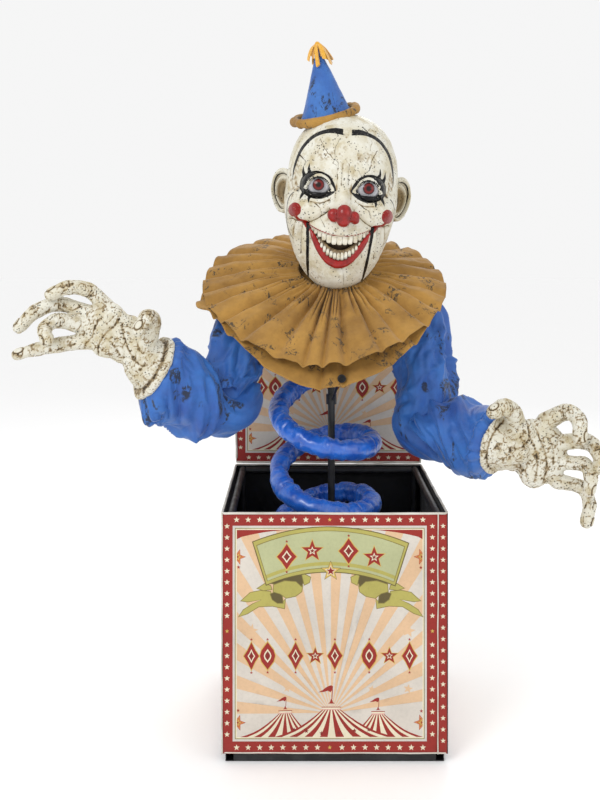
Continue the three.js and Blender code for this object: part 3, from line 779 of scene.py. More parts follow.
def settle(obj, pinned, frames, pressure, grow, gravity, reach, stiffness, bending):
    """Lets a mesh settle as cloth from pinned weights, and keeps every point within reach of its start."""
    start = np.empty(len(obj.data.vertices) * 3)
    obj.data.vertices.foreach_get("co", start)
    group = obj.vertex_groups.new(name="pinned")
    for i in np.flatnonzero(np.asarray(pinned) > 0):
        group.add([int(i)], float(pinned[i]), "REPLACE")
    modifier = obj.modifiers.new("settle", "CLOTH")
    cloth = modifier.settings
    cloth.quality = 5
    cloth.mass = 0.2
    cloth.tension_stiffness = cloth.compression_stiffness = stiffness
    cloth.shear_stiffness = stiffness * 0.4
    cloth.bending_stiffness = bending
    cloth.vertex_group_mass = group.name
    cloth.use_pressure = pressure > 0
    cloth.uniform_pressure_force = pressure
    cloth.shrink_min = -grow
    cloth.effector_weights.gravity = gravity
    modifier.collision_settings.use_collision = False
    modifier.point_cache.frame_start = 1
    modifier.point_cache.frame_end = frames
    for f in range(1, frames + 1):
        scene.frame_set(f)
    settled = np.empty_like(start)
    evaluated = obj.evaluated_get(bpy.context.evaluated_depsgraph_get())
    evaluated.data.vertices.foreach_get("co", settled)
    move = (settled - start).reshape(-1, 3)
    length = np.linalg.norm(move, axis=1, keepdims=True)
    move *= np.tanh(length / reach) * reach / np.maximum(length, 1e-9)
    obj.modifiers.remove(modifier)
    obj.vertex_groups.clear()
    obj.data.vertices.foreach_set("co", (start.reshape(-1, 3) + move).ravel())
    obj.data.update()
    scene.frame_set(1)


def thicken(obj, thick=0.0012):
    """Gives a one-layer cloth its thickness, inwards."""
    solid = obj.modifiers.new("thickness", "SOLIDIFY")
    solid.thickness = thick
    solid.offset = -1


def smoother(obj):
    subdivision = obj.modifiers.new("smooth", "SUBSURF")
    subdivision.levels = subdivision.render_levels = 1


def table_of(x, *points):
    """A smooth curve through (place, value) points."""
    places, values = zip(*points)
    i = np.clip(np.searchsorted(places, x) - 1, 0, len(places) - 2)
    p, v = np.array(places, float), np.array(values, float)
    t = smoothstep(0, 1, (x - p[i]) / (p[i + 1] - p[i]))
    return v[i] * (1 - t) + v[i + 1] * t


# ---- Cloth and painted materials ----


def dabs(s, patch, stroke, amount):
    """Dry brush strokes in loose patches: 1 where there is black paint."""
    patches = s.ramp(s.noise(patch, 1, 0.4, 0.3), (0.60 - amount, 0), (0.64 - amount, 1))
    turned = {"Vector": s.coords, "Scale": (1.0, 1.0, 0.42), "Rotation": (0.5, 0.4, 0.3)}
    broken = s.add("ShaderNodeMapping", turned).outputs["Vector"]
    strokes = s.ramp(s.noise(stroke, 4, 0.65, 1.1, broken), (0.53, 0), (0.57, 1))
    thin = s.ramp(s.noise(stroke * 0.25, 3, 0.7), (0.38, 0), (0.5, 1))
    return s.math("MULTIPLY", s.math("MULTIPLY", patches, strokes), thin)


def brushed_cloth(name, colour, shade, paint, rough, sheen, patch, stroke, amount, weave):
    s = Shader(name, Roughness=rough, Sheen_Weight=sheen, Sheen_Roughness=0.45)
    base = s.mix(srgb(colour), srgb(shade), s.ramp(s.noise(0.09, 4, 0.6), (0.38, 0), (0.68, 1)))
    dirt = s.ramp(s.noise(0.016, 5, 0.7), (0.32, 0.86), (0.55, 1.0))
    base = s.mix(base, dirt, 1.0, "MULTIPLY")
    s.set("Base Color", s.mix(base, srgb(paint), s.math("MULTIPLY", dabs(s, patch, stroke, amount), 0.9)))
    s.weave(weave, 0.3, 0.0002)
    return s.material


def satin(name, colour, shade):
    s = Shader(name, Specular_IOR_Level=0.8, Sheen_Weight=0.3, Sheen_Roughness=0.3, Anisotropic=0.4)
    base = s.mix(srgb(colour), srgb(shade), s.ramp(s.noise(0.04, 4, 0.6), (0.4, 0), (0.7, 1)))
    s.set("Base Color", base)
    s.set("Roughness", s.ramp(s.noise(0.03, 3), (0.3, 0.2), (0.7, 0.32)))
    s.weave(0.0006, 0.12, 0.0001)
    return s.material


def mottled(name, colour, shade, gloss, patch, spread, rough, grain):
    """Two colours in patches: gloss is (specular, coat, coat roughness), grain is (noise, distance, strength)."""
    s = Shader(name, Specular_IOR_Level=gloss[0], Coat_Weight=gloss[1], Coat_Roughness=gloss[2])
    s.set("Base Color", s.mix(srgb(colour), srgb(shade),
                              s.ramp(s.noise(*patch), (spread[0], 0), (spread[1], 1))))
    s.set("Roughness", s.ramp(s.noise(rough[0], 3), (0.3, rough[1]), (0.7, rough[2])))
    s.bump(s.noise(*grain[0]), *grain[1:])
    return s.material


def felt(name, colour, shade):
    s = Shader(name, Roughness=0.95, Sheen_Weight=0.5, Sheen_Roughness=0.6)
    s.set("Base Color", s.mix(srgb(colour), srgb(shade), s.ramp(s.noise(0.004, 5, 0.7), (0.35, 0), (0.7, 1))))
    s.bump(s.noise(0.0012, 4, 0.8), 0.0006, 0.6)
    return s.material


M["gold"] = brushed_cloth("gold_cloth", "ac813a", "8c6528", "2c2b26", 0.82, 0.15, 0.05, 0.012, 0.05, 0.0009)
M["blue"] = brushed_cloth("blue_cloth", "2a68b6", "244f9c", "0c1018", 0.55, 0.2, 0.07, 0.03, 0.07, 0.0009)
M["hat_blue"] = brushed_cloth("hat_cloth", "3f78c0", "2c5ca6", "15171c", 0.7, 0.2, 0.05, 0.02, 0.08, 0.0009)
M["satin"] = satin("blue_satin", "2a6cd0", "1b4cac")
M["felt"] = felt("yellow_felt", "e3ac26", "c98d16")

# ---- Satin spring: a stuffed tube, gathered along its inner seam ----
COIL = {"r": 103, "tube": 23.5, "pitch": 138, "tilt": 28, "x": -14, "top": 679, "turns": (-0.36, 4.42),
        "lowest": 47.6}


def coil_at(turn):
    a = 2 * math.pi * turn
    z = np.maximum(COIL["top"] - COIL["pitch"] * turn - COIL["tilt"] * np.sin(a), COIL["lowest"])
    return xyz(COIL["x"] - COIL["r"] * np.cos(a), -COIL["r"] * np.sin(a), z)


def satin_spring():
    rings, around = 760, 36
    turn = np.linspace(*COIL["turns"], rings)
    path = coil_at(turn)
    tangent = tangents(path)
    outward = path - np.array([COIL["x"], 0, 0])
    outward[:, 2] = 0
    outward = units(outward - tangent * np.sum(outward * tangent, axis=1, keepdims=True))
    upward = np.cross(tangent, outward)
    a = full_turn(around)
    step = np.arange(rings)[:, None]
    along = step * np.linalg.norm(path[1] - path[0])
    # gathers run round the tube from the inner seam and fade towards the outside
    seam = (0.5 - 0.5 * np.cos(a)) ** 1.3
    q = xyz(along, 22 * np.cos(a), 22 * np.sin(a))
    gathers = 1.3 * fbm(q * [1, 0.2, 0.2], 10, 3, 3)
    pull = np.exp(-((np.abs(a - math.pi) / 0.35) ** 2))
    ends = np.minimum(1, np.minimum(step, rings - 1 - step) / 10) ** 0.5
    radius = (COIL["tube"] * 0.93 + 2.3 * gathers * (0.35 + seam) - 3.4 * pull) * np.maximum(ends, 0.02)
    verts = rings_round(path, outward, upward, radius, a) * MM
    obj = new_object("satin_spring_cover", verts, capped_faces(rings, around), [M["satin"]])
    pinned = (np.abs(a - math.pi) < 0.1) * np.ones((rings, 1))
    pinned[:3] = pinned[-3:] = 1
    settle(obj, pinned.ravel(), 14, 3.0, 0.1, 0.0, 0.004, 15, 0.15)
    smoother(obj)
    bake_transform(obj)
    finish_piece(obj, None, ["satin_spring"])


satin_spring()

# ---- Sleeves: one bag of cloth from the shoulder to the cuff on each side ----
ARMS = {
    "left": {"s": -1, "elbow": (-225, -90, 702), "wrist": (-383, -170, 800), "heel": (4, 0, 16), "slack": 54},
    "right": {"s": 1, "elbow": (215, -20, 676), "wrist": (354, -150, 631), "heel": (-14, 4, -12),
              "slack": 12},
}
SHOULDER = (205, 0, 930)


def ridged(p, size, octaves, seed):
    """Folds with sharp crests and round valleys, from 0 to about 1."""
    return np.clip(1 - 2.1 * np.abs(fbm(p, size, octaves, seed)), -0.6, 1)


def sleeve(side):
    arm = ARMS[side]
    s, elbow, wrist = arm["s"], np.array(arm["elbow"], float), np.array(arm["wrist"], float)
    shoulder = np.array([s * SHOULDER[0], 0, SHOULDER[2]], float)
    up, out = unit(shoulder - elbow), unit(wrist - elbow)
    heel = elbow + arm["heel"]
    control = [(s * 112, 2, 903), (s * 160, 0, 905), (s * 208, -4, 886), elbow + up * 130 + (s * 6, 0, 0),
               elbow + up * 62 + (s * 4, 0, 0), heel, elbow + out * 62, wrist - out * 70, wrist - out * 4]
    rings, around = 230, 120
    path = smooth_path(control, rings)
    length = length_along(path)
    at_elbow = length[np.argmin(np.linalg.norm(path - heel, axis=1))]
    end = length[-1]
    wide = table_of(length, (0, 44), (45, 48), (105, 60), (at_elbow - 90, 68), (at_elbow, 58),
                    (at_elbow + 70, 68), (end - 50, 76), (end - 20, 74), (end, 56))
    a = full_turn(around)
    t = length[:, None]
    q = xyz(t, 62 * np.cos(a), 62 * np.sin(a))
    seed = 31 if s < 0 else 37
    # long folds down the upper arm, slanting folds from the elbow, gathers at the cuff
    long_folds = ridged(q * [0.34, 1, 1], 44, 2, seed)
    slant = q + xyz(1.1 * q[..., 1] - 0.4 * q[..., 2], 0, 0)
    cross_folds = ridged(slant * [1, 0.3, 0.3], 60, 2, seed + 10)
    fine = ridged(slant[..., ::-1] * [0.5, 0.8, 1], 30, 2, seed + 20)
    near = bump_at(t, at_elbow + 6, 62)
    cuff = smoothstep(end - 66, end - 8, t)
    upper_arm = 1 - smoothstep(at_elbow - 60, at_elbow, t)
    gather = np.sin(a * 19 + 2.6 * np.sin(3 * a + seed)) * cuff * (1 - 0.55 * smoothstep(end - 14, end, t))
    gather *= 0.7 + 0.5 * np.sin(5 * a + 1)
    radius = wide[:, None] + 13.0 * (long_folds - 0.4) * upper_arm * (1 - 0.5 * near)
    radius += 14.0 * (cross_folds - 0.4) * near + 11.0 * (cross_folds - 0.4) * (1 - upper_arm) * (1 - cuff)
    radius += 4.2 * gather + 4.0 * (fine - 0.4) * (1 - 0.5 * cuff)
    verts = rings_round(path, *frames_along(path, (0, 1, 0.2)), radius, a)
    # slack cloth hangs from the forearm in a keel that is lowest just before the cuff
    lower = np.clip((path[:, None, 2] - verts[..., 2]) / wide[:, None], 0, 1)
    hang = smoothstep(at_elbow - 10, end - 50, t) * (1 - smoothstep(end - 26, end, t))
    verts[..., 2] -= arm["slack"] * hang * lower**2
    obj = new_object(f"sleeve_{side}", verts * MM, grid_faces(rings, around, False, True), [M["blue"]])
    pinned = np.full((rings, around), 0.03)
    pinned[:4] = pinned[-12:] = 1
    settle(obj, pinned.ravel(), 20, 0.4, 0.06, 0.5, 0.012, 9, 0.2)
    thicken(obj)
    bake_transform(obj)
    finish_piece(obj, None, [f"sleeve_upper_{side}", f"sleeve_lower_{side}"])


for side in ARMS:
    sleeve(side)


def shirt_yoke():
    """An arch of cloth over the shoulder bar with a hole for the neck."""
    n_along, n_over = 70, 90
    x = np.linspace(-136, 136, n_along)[:, None]
    v = np.linspace(-1, 1, n_over)[None]
    over = v * (66 * math.pi / 2 + 70)
    angle = np.clip(over / 66, -math.pi / 2, math.pi / 2)
    beyond = np.maximum(0, np.abs(over) - 66 * math.pi / 2)
    q = xyz(x, over, 0)
    folds = fbm(q * [1, 0.5, 1], 40, 3, 71) * 3.2
    r = 63.5 + folds * (0.4 + 0.6 * np.abs(v))
    y = r * np.sin(angle) + np.sign(over) * 0.06 * beyond
    z = 892 + r * np.cos(angle) * (np.abs(angle) < math.pi / 2) - beyond
    hem = 5 * fbm(q * [1, 0, 0], 60, 2, 73) * smoothstep(0, 60, beyond)
    verts = xyz(x, y, z + hem).reshape(-1, 3)
    hole = np.hypot(verts[:, 0], verts[:, 1])
    near = (hole < 52) & (verts[:, 2] > 900)
    push = np.where(near, 50 / np.maximum(hole, 1), 1)
    faces = [f for f in grid_faces(n_along, n_over) if not all(near[i] for i in f)]
    edge = near & (hole > 38)
    verts[edge, :2] *= push[edge, None]
    used, faces = used_only(len(verts), np.array(faces))
    obj = new_object("shirt_yoke_cloth", verts[used] * MM, faces, [M["blue"]])
    thicken(obj, 0.0014)
    finish_piece(obj, "torso", ["shirt_yoke"])


shirt_yoke()

# ---- Collar: two gathered tiers ----


def collar_tier(name, node, neck, edge, drop, pleats, depth, seed, corner):
    """neck = (height, slope), edge = (radius, height, slope); corner lifts the hem out at the left."""
    rows, columns = 56, 900
    r_in = 80
    a = full_turn(columns)
    t = (np.linspace(0, 1, rows) ** 0.9)[:, None]
    circle = xyz(np.cos(a), np.sin(a), 0)
    drift = fbm(circle, 0.55, 2, seed)
    reach = 1 + 0.025 * fbm(circle, 0.5, 2, seed + 5) + corner * bump_at(a, 3.42, 0.16)
    phase = pleats * a / 2 + 2.2 * drift
    spread = 0.75 + 0.45 * fbm(circle, 0.35, 1, seed + 7)
    # wide rounded pleats with narrow valleys between them, leaning one way
    lean = phase + 0.38 * np.sin(2 * phase) + 0.5 * (t - 0.4) * np.sin(a * 3 + seed)
    wave = 1 - np.abs(np.cos(lean)) ** 5 * 2.0
    second = 1 - np.abs(np.cos(2.3 * phase + 1.1)) ** 3 * 2.0
    gather = np.sin(phase * 6.3 + 2 * np.sin(phase))
    rise = table_of(t, (0, 0.15), (0.1, 0.75), (0.3, 1.0), (0.7, 0.85), (1.0, 0.7))
    offset = depth * wave * rise * np.clip(spread, 0.35, 1.4)
    offset += depth * 0.35 * second * bump_at(t, 0.2, 0.2)
    offset += 1.5 * gather * np.exp(-t / 0.07)
    r = r_in + (edge[0] - r_in) * t * reach
    swing = depth * 0.9 * np.sin(2 * phase) * rise * t / np.maximum(r, 60) * np.clip(spread, 0.3, 1.3)
    theta = a + swing
    x, y = r * np.cos(theta), r * np.sin(theta)
    front = np.maximum(0, -np.sin(theta)) ** 3
    z = (neck[0] + neck[1] * y) * (1 - t) + (edge[1] + edge[2] * y - drop * front) * t + 6 * np.sin(math.pi * t)
    p = xyz(x, y, seed * 50)
    rumple = fbm(p, 75, 3, seed + 11) * 5 * t + fbm(p, 22, 2, seed + 13) * 1.1 * smoothstep(0, 0.3, t)
    z = z + offset + rumple + 9 * np.exp(-t / 0.05)
    # the offset also pushes the cloth outwards where the tier hangs steeply at the front
    y = y - (offset + rumple) * front * 0.8
    verts = xyz(x * (1 + 0.09 * t) - 18 * t + 6 * (1 - t), y, z)
    obj = new_object(name, verts * MM, grid_faces(rows, columns, False, True), [M["gold"]])
    thicken(obj, 0.0011)
    finish_piece(obj, "torso", [node])
    return obj


upper = collar_tier("collar_tier_upper", "collar_upper", (990, 0.5), (250, 968, 0.45), 46, 27, 11.0, 3, 0.0)
lower = collar_tier("collar_tier_lower", "collar_lower", (974, 0.45), (247, 944, 0.3), 108, 19, 7.5, 9, 0.13)


def collar_neck():
    """The gathered band inside the neck, which closes the hole round the frame."""
    rows, columns = 30, 420
    t = np.linspace(0, 1, rows)[:, None]
    a = full_turn(columns)
    ruche = np.sin(a * 62 + 2.5 * np.sin(7 * a)) * (1.8 - 0.6 * t)
    r = 82 - 44 * smoothstep(0, 0.6, t) + 0.5 * ruche
    y = r * np.sin(a)
    z = 991 + 0.5 * y - 66 * t + ruche
    verts = xyz(r * np.cos(a) + 6 * (1 - t), y, z)
    obj = new_object("collar_neck_band", verts * MM, grid_faces(rows, columns, False, True), [M["gold"]])
    thicken(obj)
    finish_piece(obj, "torso")


collar_neck()


def sensor():
    """The motion sensor's tube, which looks out through the lower tier."""
    a, b = np.array((12.5, -177, 774)), np.array((13.5, -241, 783))
    steps = np.array([0, 0.02, 0.04, 0.92, 0.94, 0.985, 1.0, 1.0, 0.975, 0.965])
    radius = np.array([6.8, 8, 8, 8, 8.6, 8.6, 8.0, 6.2, 5.6, 0.3])
    piece = tube("sensor_tube", (a + (b - a) * steps[:, None]) * MM, radius * MM, M["plastic"], 28)
    finish_piece(piece, "torso", ["motion_sensor"])


def box_floor():
    """The black cloth floor, notched round the posts and open over the drive."""
    n = 88
    line = np.linspace(-220, 220, n)
    x, y = (v.ravel() for v in np.meshgrid(line, line, indexing="ij"))
    dip = 1.2 * fbm(xyz(x, y, 0), 60, 3, 75) - 1.0
    verts = xyz(x, y, 21.2 + np.clip(dip, -2.4, 0.4))
    keep = []
    for f in grid_faces(n, n):
        cx, cy = abs(x[f].mean()), abs(y[f].mean())
        if not (cx > 202 and cy > 202) and not (cx < 53 and cy < 43):
            keep.append(f)
    used, faces = used_only(len(verts), np.array(keep))
    obj = new_object("floor_cloth", verts[used] * MM, faces, [M["lining"]])
    thicken(obj, 0.002)
    finish_piece(obj, "base", ["box_floor"])


sensor()
box_floor()

# ---- Head: places in millimetres in the head's own frame, which leans to the clown's left ----
HEAD_AT = np.array([20, -22, 1158], float)
LEAN = math.radians(4.5)
SKULL = {"width": 121, "depth": 128, "up": 187, "down": 202}
EYE = {"x": 50.5, "y": -95, "z": 19, "size": np.array([32, 28, 27])}


def head_place(p):
    """From the head's own millimetres to the frame's metres."""
    p = np.asarray(p, float)
    x = p[..., 0] * math.cos(LEAN) + p[..., 2] * math.sin(LEAN)
    z = -p[..., 0] * math.sin(LEAN) + p[..., 2] * math.cos(LEAN)
    return (np.stack([x, p[..., 1], z], axis=-1) + HEAD_AT) * MM


def skull_size(z):
    """Half width, half depth at the front and at the back, and the middle's y, at a height."""
    v = np.where(z > 0, z / SKULL["up"], z / SKULL["down"])
    low = np.clip(-v, 0, 1)
    power = np.where(z > 0, 3.0, 3.2)
    round_off = np.sqrt(np.maximum(1 - np.abs(v) ** power, 0))
    cheek = 1 + 0.03 * bump_at(z, -30, 40)
    width = SKULL["width"] * (1 - 0.25 * low) * round_off * cheek
    front = SKULL["depth"] * (1 - 0.12 * low) * round_off
    back = SKULL["depth"] * (1 - 0.35 * low) * round_off
    return width, front, back, -26 * low


OUTSIDE = -9.0  # how far inside a painted line a place is that is nowhere near one


def both_sides(points):
    """A line given on one side of the face, and its mirror image."""
    return points, [(-x, z, *rest) for x, z, *rest in points]


def line_field(x, z, points):
    """How far inside a painted line each place is; points are (x, z, width of the line there)."""
    best = np.full(x.shape, OUTSIDE)
    for (x0, z0, w0), (x1, z1, w1) in zip(points, points[1:]):
        dx, dz = x1 - x0, z1 - z0
        t = np.clip(((x - x0) * dx + (z - z0) * dz) / max(1e-9, dx * dx + dz * dz), 0, 1)
        gap = np.hypot(x - x0 - t * dx, z - z0 - t * dz)
        best = np.maximum(best, (w0 + (w1 - w0) * t) / 2 - gap)
    return best


def curve_line(points, count=24):
    """A painted line smoothed through its points."""
    return [tuple(p) for p in smooth_path(points, count)]


MOUTH = {"half": 69, "corner": -62, "upper": -84, "lower": -137}


def lip(x, depth):
    u = np.clip(x / MOUTH["half"], -1, 1)
    return MOUTH["corner"] + (depth - MOUTH["corner"]) * (1 - u * u)


def slot_x(z):
    """Half width of the jaw between its slots."""
    return np.interp(z, [-230, -152, -64], [50, 57, 69])


OPENING = {"inner": 23, "length": 55, "z": 10, "above": 24.5, "below": -8.5}


def almond(u):
    """The arch of an eye's edge from the pointed inner corner to the round outer one."""
    inner = np.sin(math.pi * np.clip(u, 0, 1)) ** 0.8
    return np.where(u < 0.5, inner, np.sqrt(np.maximum(1 - np.abs(2 * u - 1) ** 2.6, 0)))


def eye_field(x, z):
    """How far inside the nearer eye's opening each place is."""
    ax = np.abs(x)
    u = np.clip((ax - OPENING["inner"]) / OPENING["length"], 0, 1)
    top, bottom = (OPENING["z"] + OPENING[way] * almond(u) for way in ("above", "below"))
    inside = np.minimum(top - z, z - bottom)
    beyond = np.maximum(OPENING["inner"] - ax, ax - OPENING["inner"] - OPENING["length"])
    return np.where(beyond > 0, -beyond - 0.5, inside * 0.8)


def eye_front(x, z, s, grow=0.0):
    """How far forward an eyeball's front is at x and z, or far back beside it."""
    rx, ry, rz = EYE["size"] + grow
    left = 1 - ((x - s * EYE["x"]) / rx) ** 2 - ((z - EYE["z"]) / rz) ** 2
    return EYE["y"] - ry * np.sqrt(np.maximum(left, 0)) + 60 * np.maximum(-left, 0)


CRACKS = [
    [(-54, 117), (-46, 98), (-32, 82), (-23, 75), (-26, 66), (-12, 56), (-17, 40)],
    [(-23, 75), (-14, 67), (-11, 56)],
    [(-16, 118), (-23, 101), (-23, 75)],
    [(54, 68), (50, 57), (41, 50), (38, 42), (27, 55), (8, 57)],
    [(65, 101), (55, 79), (50, 57)],
    [(-57, -24), (-46, -29), (-42, -39), (-49, -49), (-38, -57), (-31, -70)],
    [(25, -9), (39, -21), (56, -30), (62, -43)],
    [(4, -146), (12, -160), (16, -170), (16, -184)],
    [(-96, 84), (-84, 70), (-80, 52)],
    [(30, 150), (44, 138), (52, 118), (49, 100)],
]


def ragged(points, seed, step=3.0, reach=1.6):
    """A crack: a line through the points with small kinks."""
    p = np.array(points, float)
    out = [p[0]]
    for a, b in zip(p, p[1:]):
        n = max(1, int(np.linalg.norm(b - a) / step))
        out += [a + (b - a) * (k + 1) / n for k in range(n)]
    out = np.array(out)
    q = np.column_stack([out, 0 * out[:, 0]])
    out[1:-1, 0] += reach * fbm(q, 5, 1, seed)[1:-1]
    out[1:-1, 1] += reach * fbm(q, 5, 1, seed + 1)[1:-1]
    width = 2.3 - 1.3 * np.linspace(0, 1, len(out))
    return [(x, z, w) for (x, z), w in zip(out, width)]


def crack_field(x, z):
    return np.max([line_field(x, z, ragged(points, 50 + k)) for k, points in enumerate(CRACKS)], axis=0)


def face_paint(x, z):
    """The make-up: how far inside the black and the red paint each place of the face is."""
    black = np.full(x.shape, OUTSIDE)
    red = np.full(x.shape, OUTSIDE)
    one_side = [
        curve_line([(2, 133, 14), (24, 136, 13), (42, 134, 9.5), (60, 128, 8.5), (76, 117, 7.5),
                    (92, 96, 6.5),
                    (102, 68, 5), (106, 46, 2.5), (106, 28, 1)]),
        curve_line([(14, 8, 3), (20, 20, 6), (32, 37, 8), (51, 45, 9), (69, 41, 13), (81, 30, 14),
                    (86, 12, 9)]),
        curve_line([(14, 8, 3), (28, 0, 8), (48, -6, 13), (66, -5, 13), (78, 2, 12), (86, 11, 7)]),
        [(70, 42, 12), (74, 52, 5), (73, 66, 0.6)],
        [(80, 34, 11), (85, 46, 5), (85, 60, 0.6)],
        [(82, -1, 7), (86, -9, 5), (89, -18, 0.6)],
        [(68, -7, 8), (71, -14, 5), (72, -24, 0.6)],
        curve_line([(84, 9, 4), (95, 4, 2.6), (107, -4, 2), (113, -22, 1.5), (112, -60, 1.3),
                    (104, -84, 1.2), (95, -98, 0.8)]),
        [(68, -62, 6.5), (65, -100, 7.5), (60, -150, 6.5), (56, -180, 3)],
    ]
    for points in one_side:
        for side in both_sides(points):
            black = np.maximum(black, line_field(x, z, side))
    black = np.where(z > 100, np.minimum(black, np.abs(x) - 9), black)
    black = np.maximum(black, crack_field(x, z))
    red_side = [
        [(97, -36, 26), (97.2, -36, 26)],
        curve_line([(96, -46, 6), (88, -54, 5), (78, -58, 8), (70, -63, 13), (66, -74, 8), (65, -88, 3)]),
    ]
    for points in red_side:
        for side in both_sides(points):
            red = np.maximum(red, line_field(x, z, side))
    upper_edge = [(u, float(lip(u, MOUTH["upper"])) + 0.3, 1.4) for u in np.linspace(-64, 64, 25)]
    red = np.maximum(red, line_field(x, z, upper_edge))
    return black, red


def dent(x, z, points):
    """1 on a crease along a line, falling to 0 over the width given at each point."""
    width = float(np.mean([p[2] for p in points]))
    thin = [(px, pz, 0.0) for px, pz, _ in points]
    return np.exp(-((line_field(x, z, thin) / width) ** 2))


def face_relief(x, z):
    """Height of the sculpted face over the skull at the front, in millimetres."""
    ax = np.abs(x)
    h = 5.5 * bump_at(z, 54, 15) * bump_at(ax, 46, 30) - 2.5 * bump_at(z, 92, 18) * bump_at(ax, 30, 34)
    h += 3.0 * bump_at(z, 112, 22) * bump_at(ax, 34, 26)
    h -= 3.5 * bump_at(z, 40, 30) * bump_at(ax, 104, 12)
    # brows drawn together: two upright creases with a fold between them
    h -= 4.2 * dent(x, z, [(-5, 66, 2.6), (-4, 22, 2.6)]) + 4.2 * dent(x, z, [(8, 66, 2.6), (7, 24, 2.6)])
    h += 3.2 * dent(x, z, [(1.5, 60, 3.4), (1.5, 26, 3.4)])
    h -= 2.2 * dent(x, z, [(-18, 62, 3), (-14, 36, 3)]) + 2.2 * dent(x, z, [(20, 60, 3), (17, 36, 3)])
    # sockets, the bridge of the nose and the muzzle
    h -= 8 * np.exp(-(((ax - 55) / 36) ** 2) - ((z - 14) / 30) ** 2)
    bridge = 1 / (1 + np.exp((z - 34) / 7)) * smoothstep(-74, -44, z)
    h += bridge * (8 + 9 * smoothstep(30, -30, z)) * np.exp(-((x / (10 + 7 * smoothstep(20, -40, z))) ** 2))
    h += 7 * np.exp(-((x / 46) ** 2) - ((z + 74) / 24) ** 2)
    # cheek balls, cut off by the smile's fold below and inside
    cheek = 17 * np.exp(-(((ax - 80) / 25) ** 2) - ((z + 30) / 23) ** 2)
    fold = [(24, -32, 4.5), (38, -44, 4.5), (52, -54, 4.5), (66, -60, 4.5), (84, -60, 4), (102, -54, 4)]
    for side in both_sides(fold):
        h -= 7.0 * dent(x, z, curve_line(side, 16))
    h += cheek
    bags = curve_line([(28, -12, 3.5), (46, -20, 3.5), (64, -20, 3.5)], 10)
    for side in both_sides(bags):
        h -= 2.6 * dent(x, z, side)
    # upright folds beside the jaw's slots
    for points, depth in (([(83, -70, 6), (85, -96, 6), (79, -128, 5)], 7.0),
                          ([(96, -64, 4), (98, -92, 4), (92, -120, 3)], 2.4)):
        for side in both_sides(points):
            h -= depth * dent(x, z, curve_line(side, 10))
    h += 3.0 * bump_at(ax, 72, 4.5) * bump_at(z, -108, 34)
    # chin
    h += 7 * np.exp(-((x / 34) ** 2) - ((z + 176) / 20) ** 2) - 3.5 * bump_at(z, -154, 6) * bump_at(x, 4, 26)
    h -= 1.4 * dent(x, z, [(10, -150, 2), (15, -186, 2)])
    return h


def skull_grid():
    """Places on the bare skull, as rows of constant height with one column along each jaw slot."""
    rise = np.concatenate([
        SKULL["up"] * np.cos(np.linspace(0.02, 1, 120, endpoint=False) * math.pi / 2) ** 0.85,
        -SKULL["down"] * np.sin(np.linspace(0, 0.99, 175) * math.pi / 2),
    ])
    slot, ear, back = 50, 62, 40
    width, front, behind, middle = skull_size(rise)
    turn_slot = np.arcsin(np.clip(slot_x(rise) / np.maximum(width, 1), -0.93, 0.93))
    turn_slot = np.where(rise > -62, np.minimum(turn_slot, 0.62), turn_slot)
    half = []
    for t in turn_slot:
        half.append(np.concatenate([
            np.linspace(0, t, slot, endpoint=False), np.linspace(t, math.pi / 2 + 0.1, ear, endpoint=False),
            np.linspace(math.pi / 2 + 0.1, math.pi, back, endpoint=False)]))
    half = np.array(half)
    turn = np.concatenate([half, 2 * math.pi - np.concatenate(
        [np.full((len(rise), 1), math.pi), half[:, :0:-1]], axis=1)], axis=1)
    turn[:, len(half[0])] = math.pi
    x = np.sin(turn) * width[:, None]
    forward = np.cos(turn)
    y = middle[:, None] - forward * np.where(forward > 0, front[:, None], behind[:, None])
    z = np.broadcast_to(rise[:, None], x.shape)
    return np.stack([x, y, z], axis=-1), slot


def grid_normals(p):
    down = np.gradient(p, axis=0)
    across = np.roll(p, -1, axis=1) - np.roll(p, 1, axis=1)
    n = np.cross(down, across)
    n /= np.maximum(np.linalg.norm(n, axis=-1, keepdims=True), 1e-9)  # the rows near the top have no length
    outside = np.sum(n * (p - [0, -10, 0]), axis=-1, keepdims=True)
    return n * np.where(outside < 0, -1, 1)


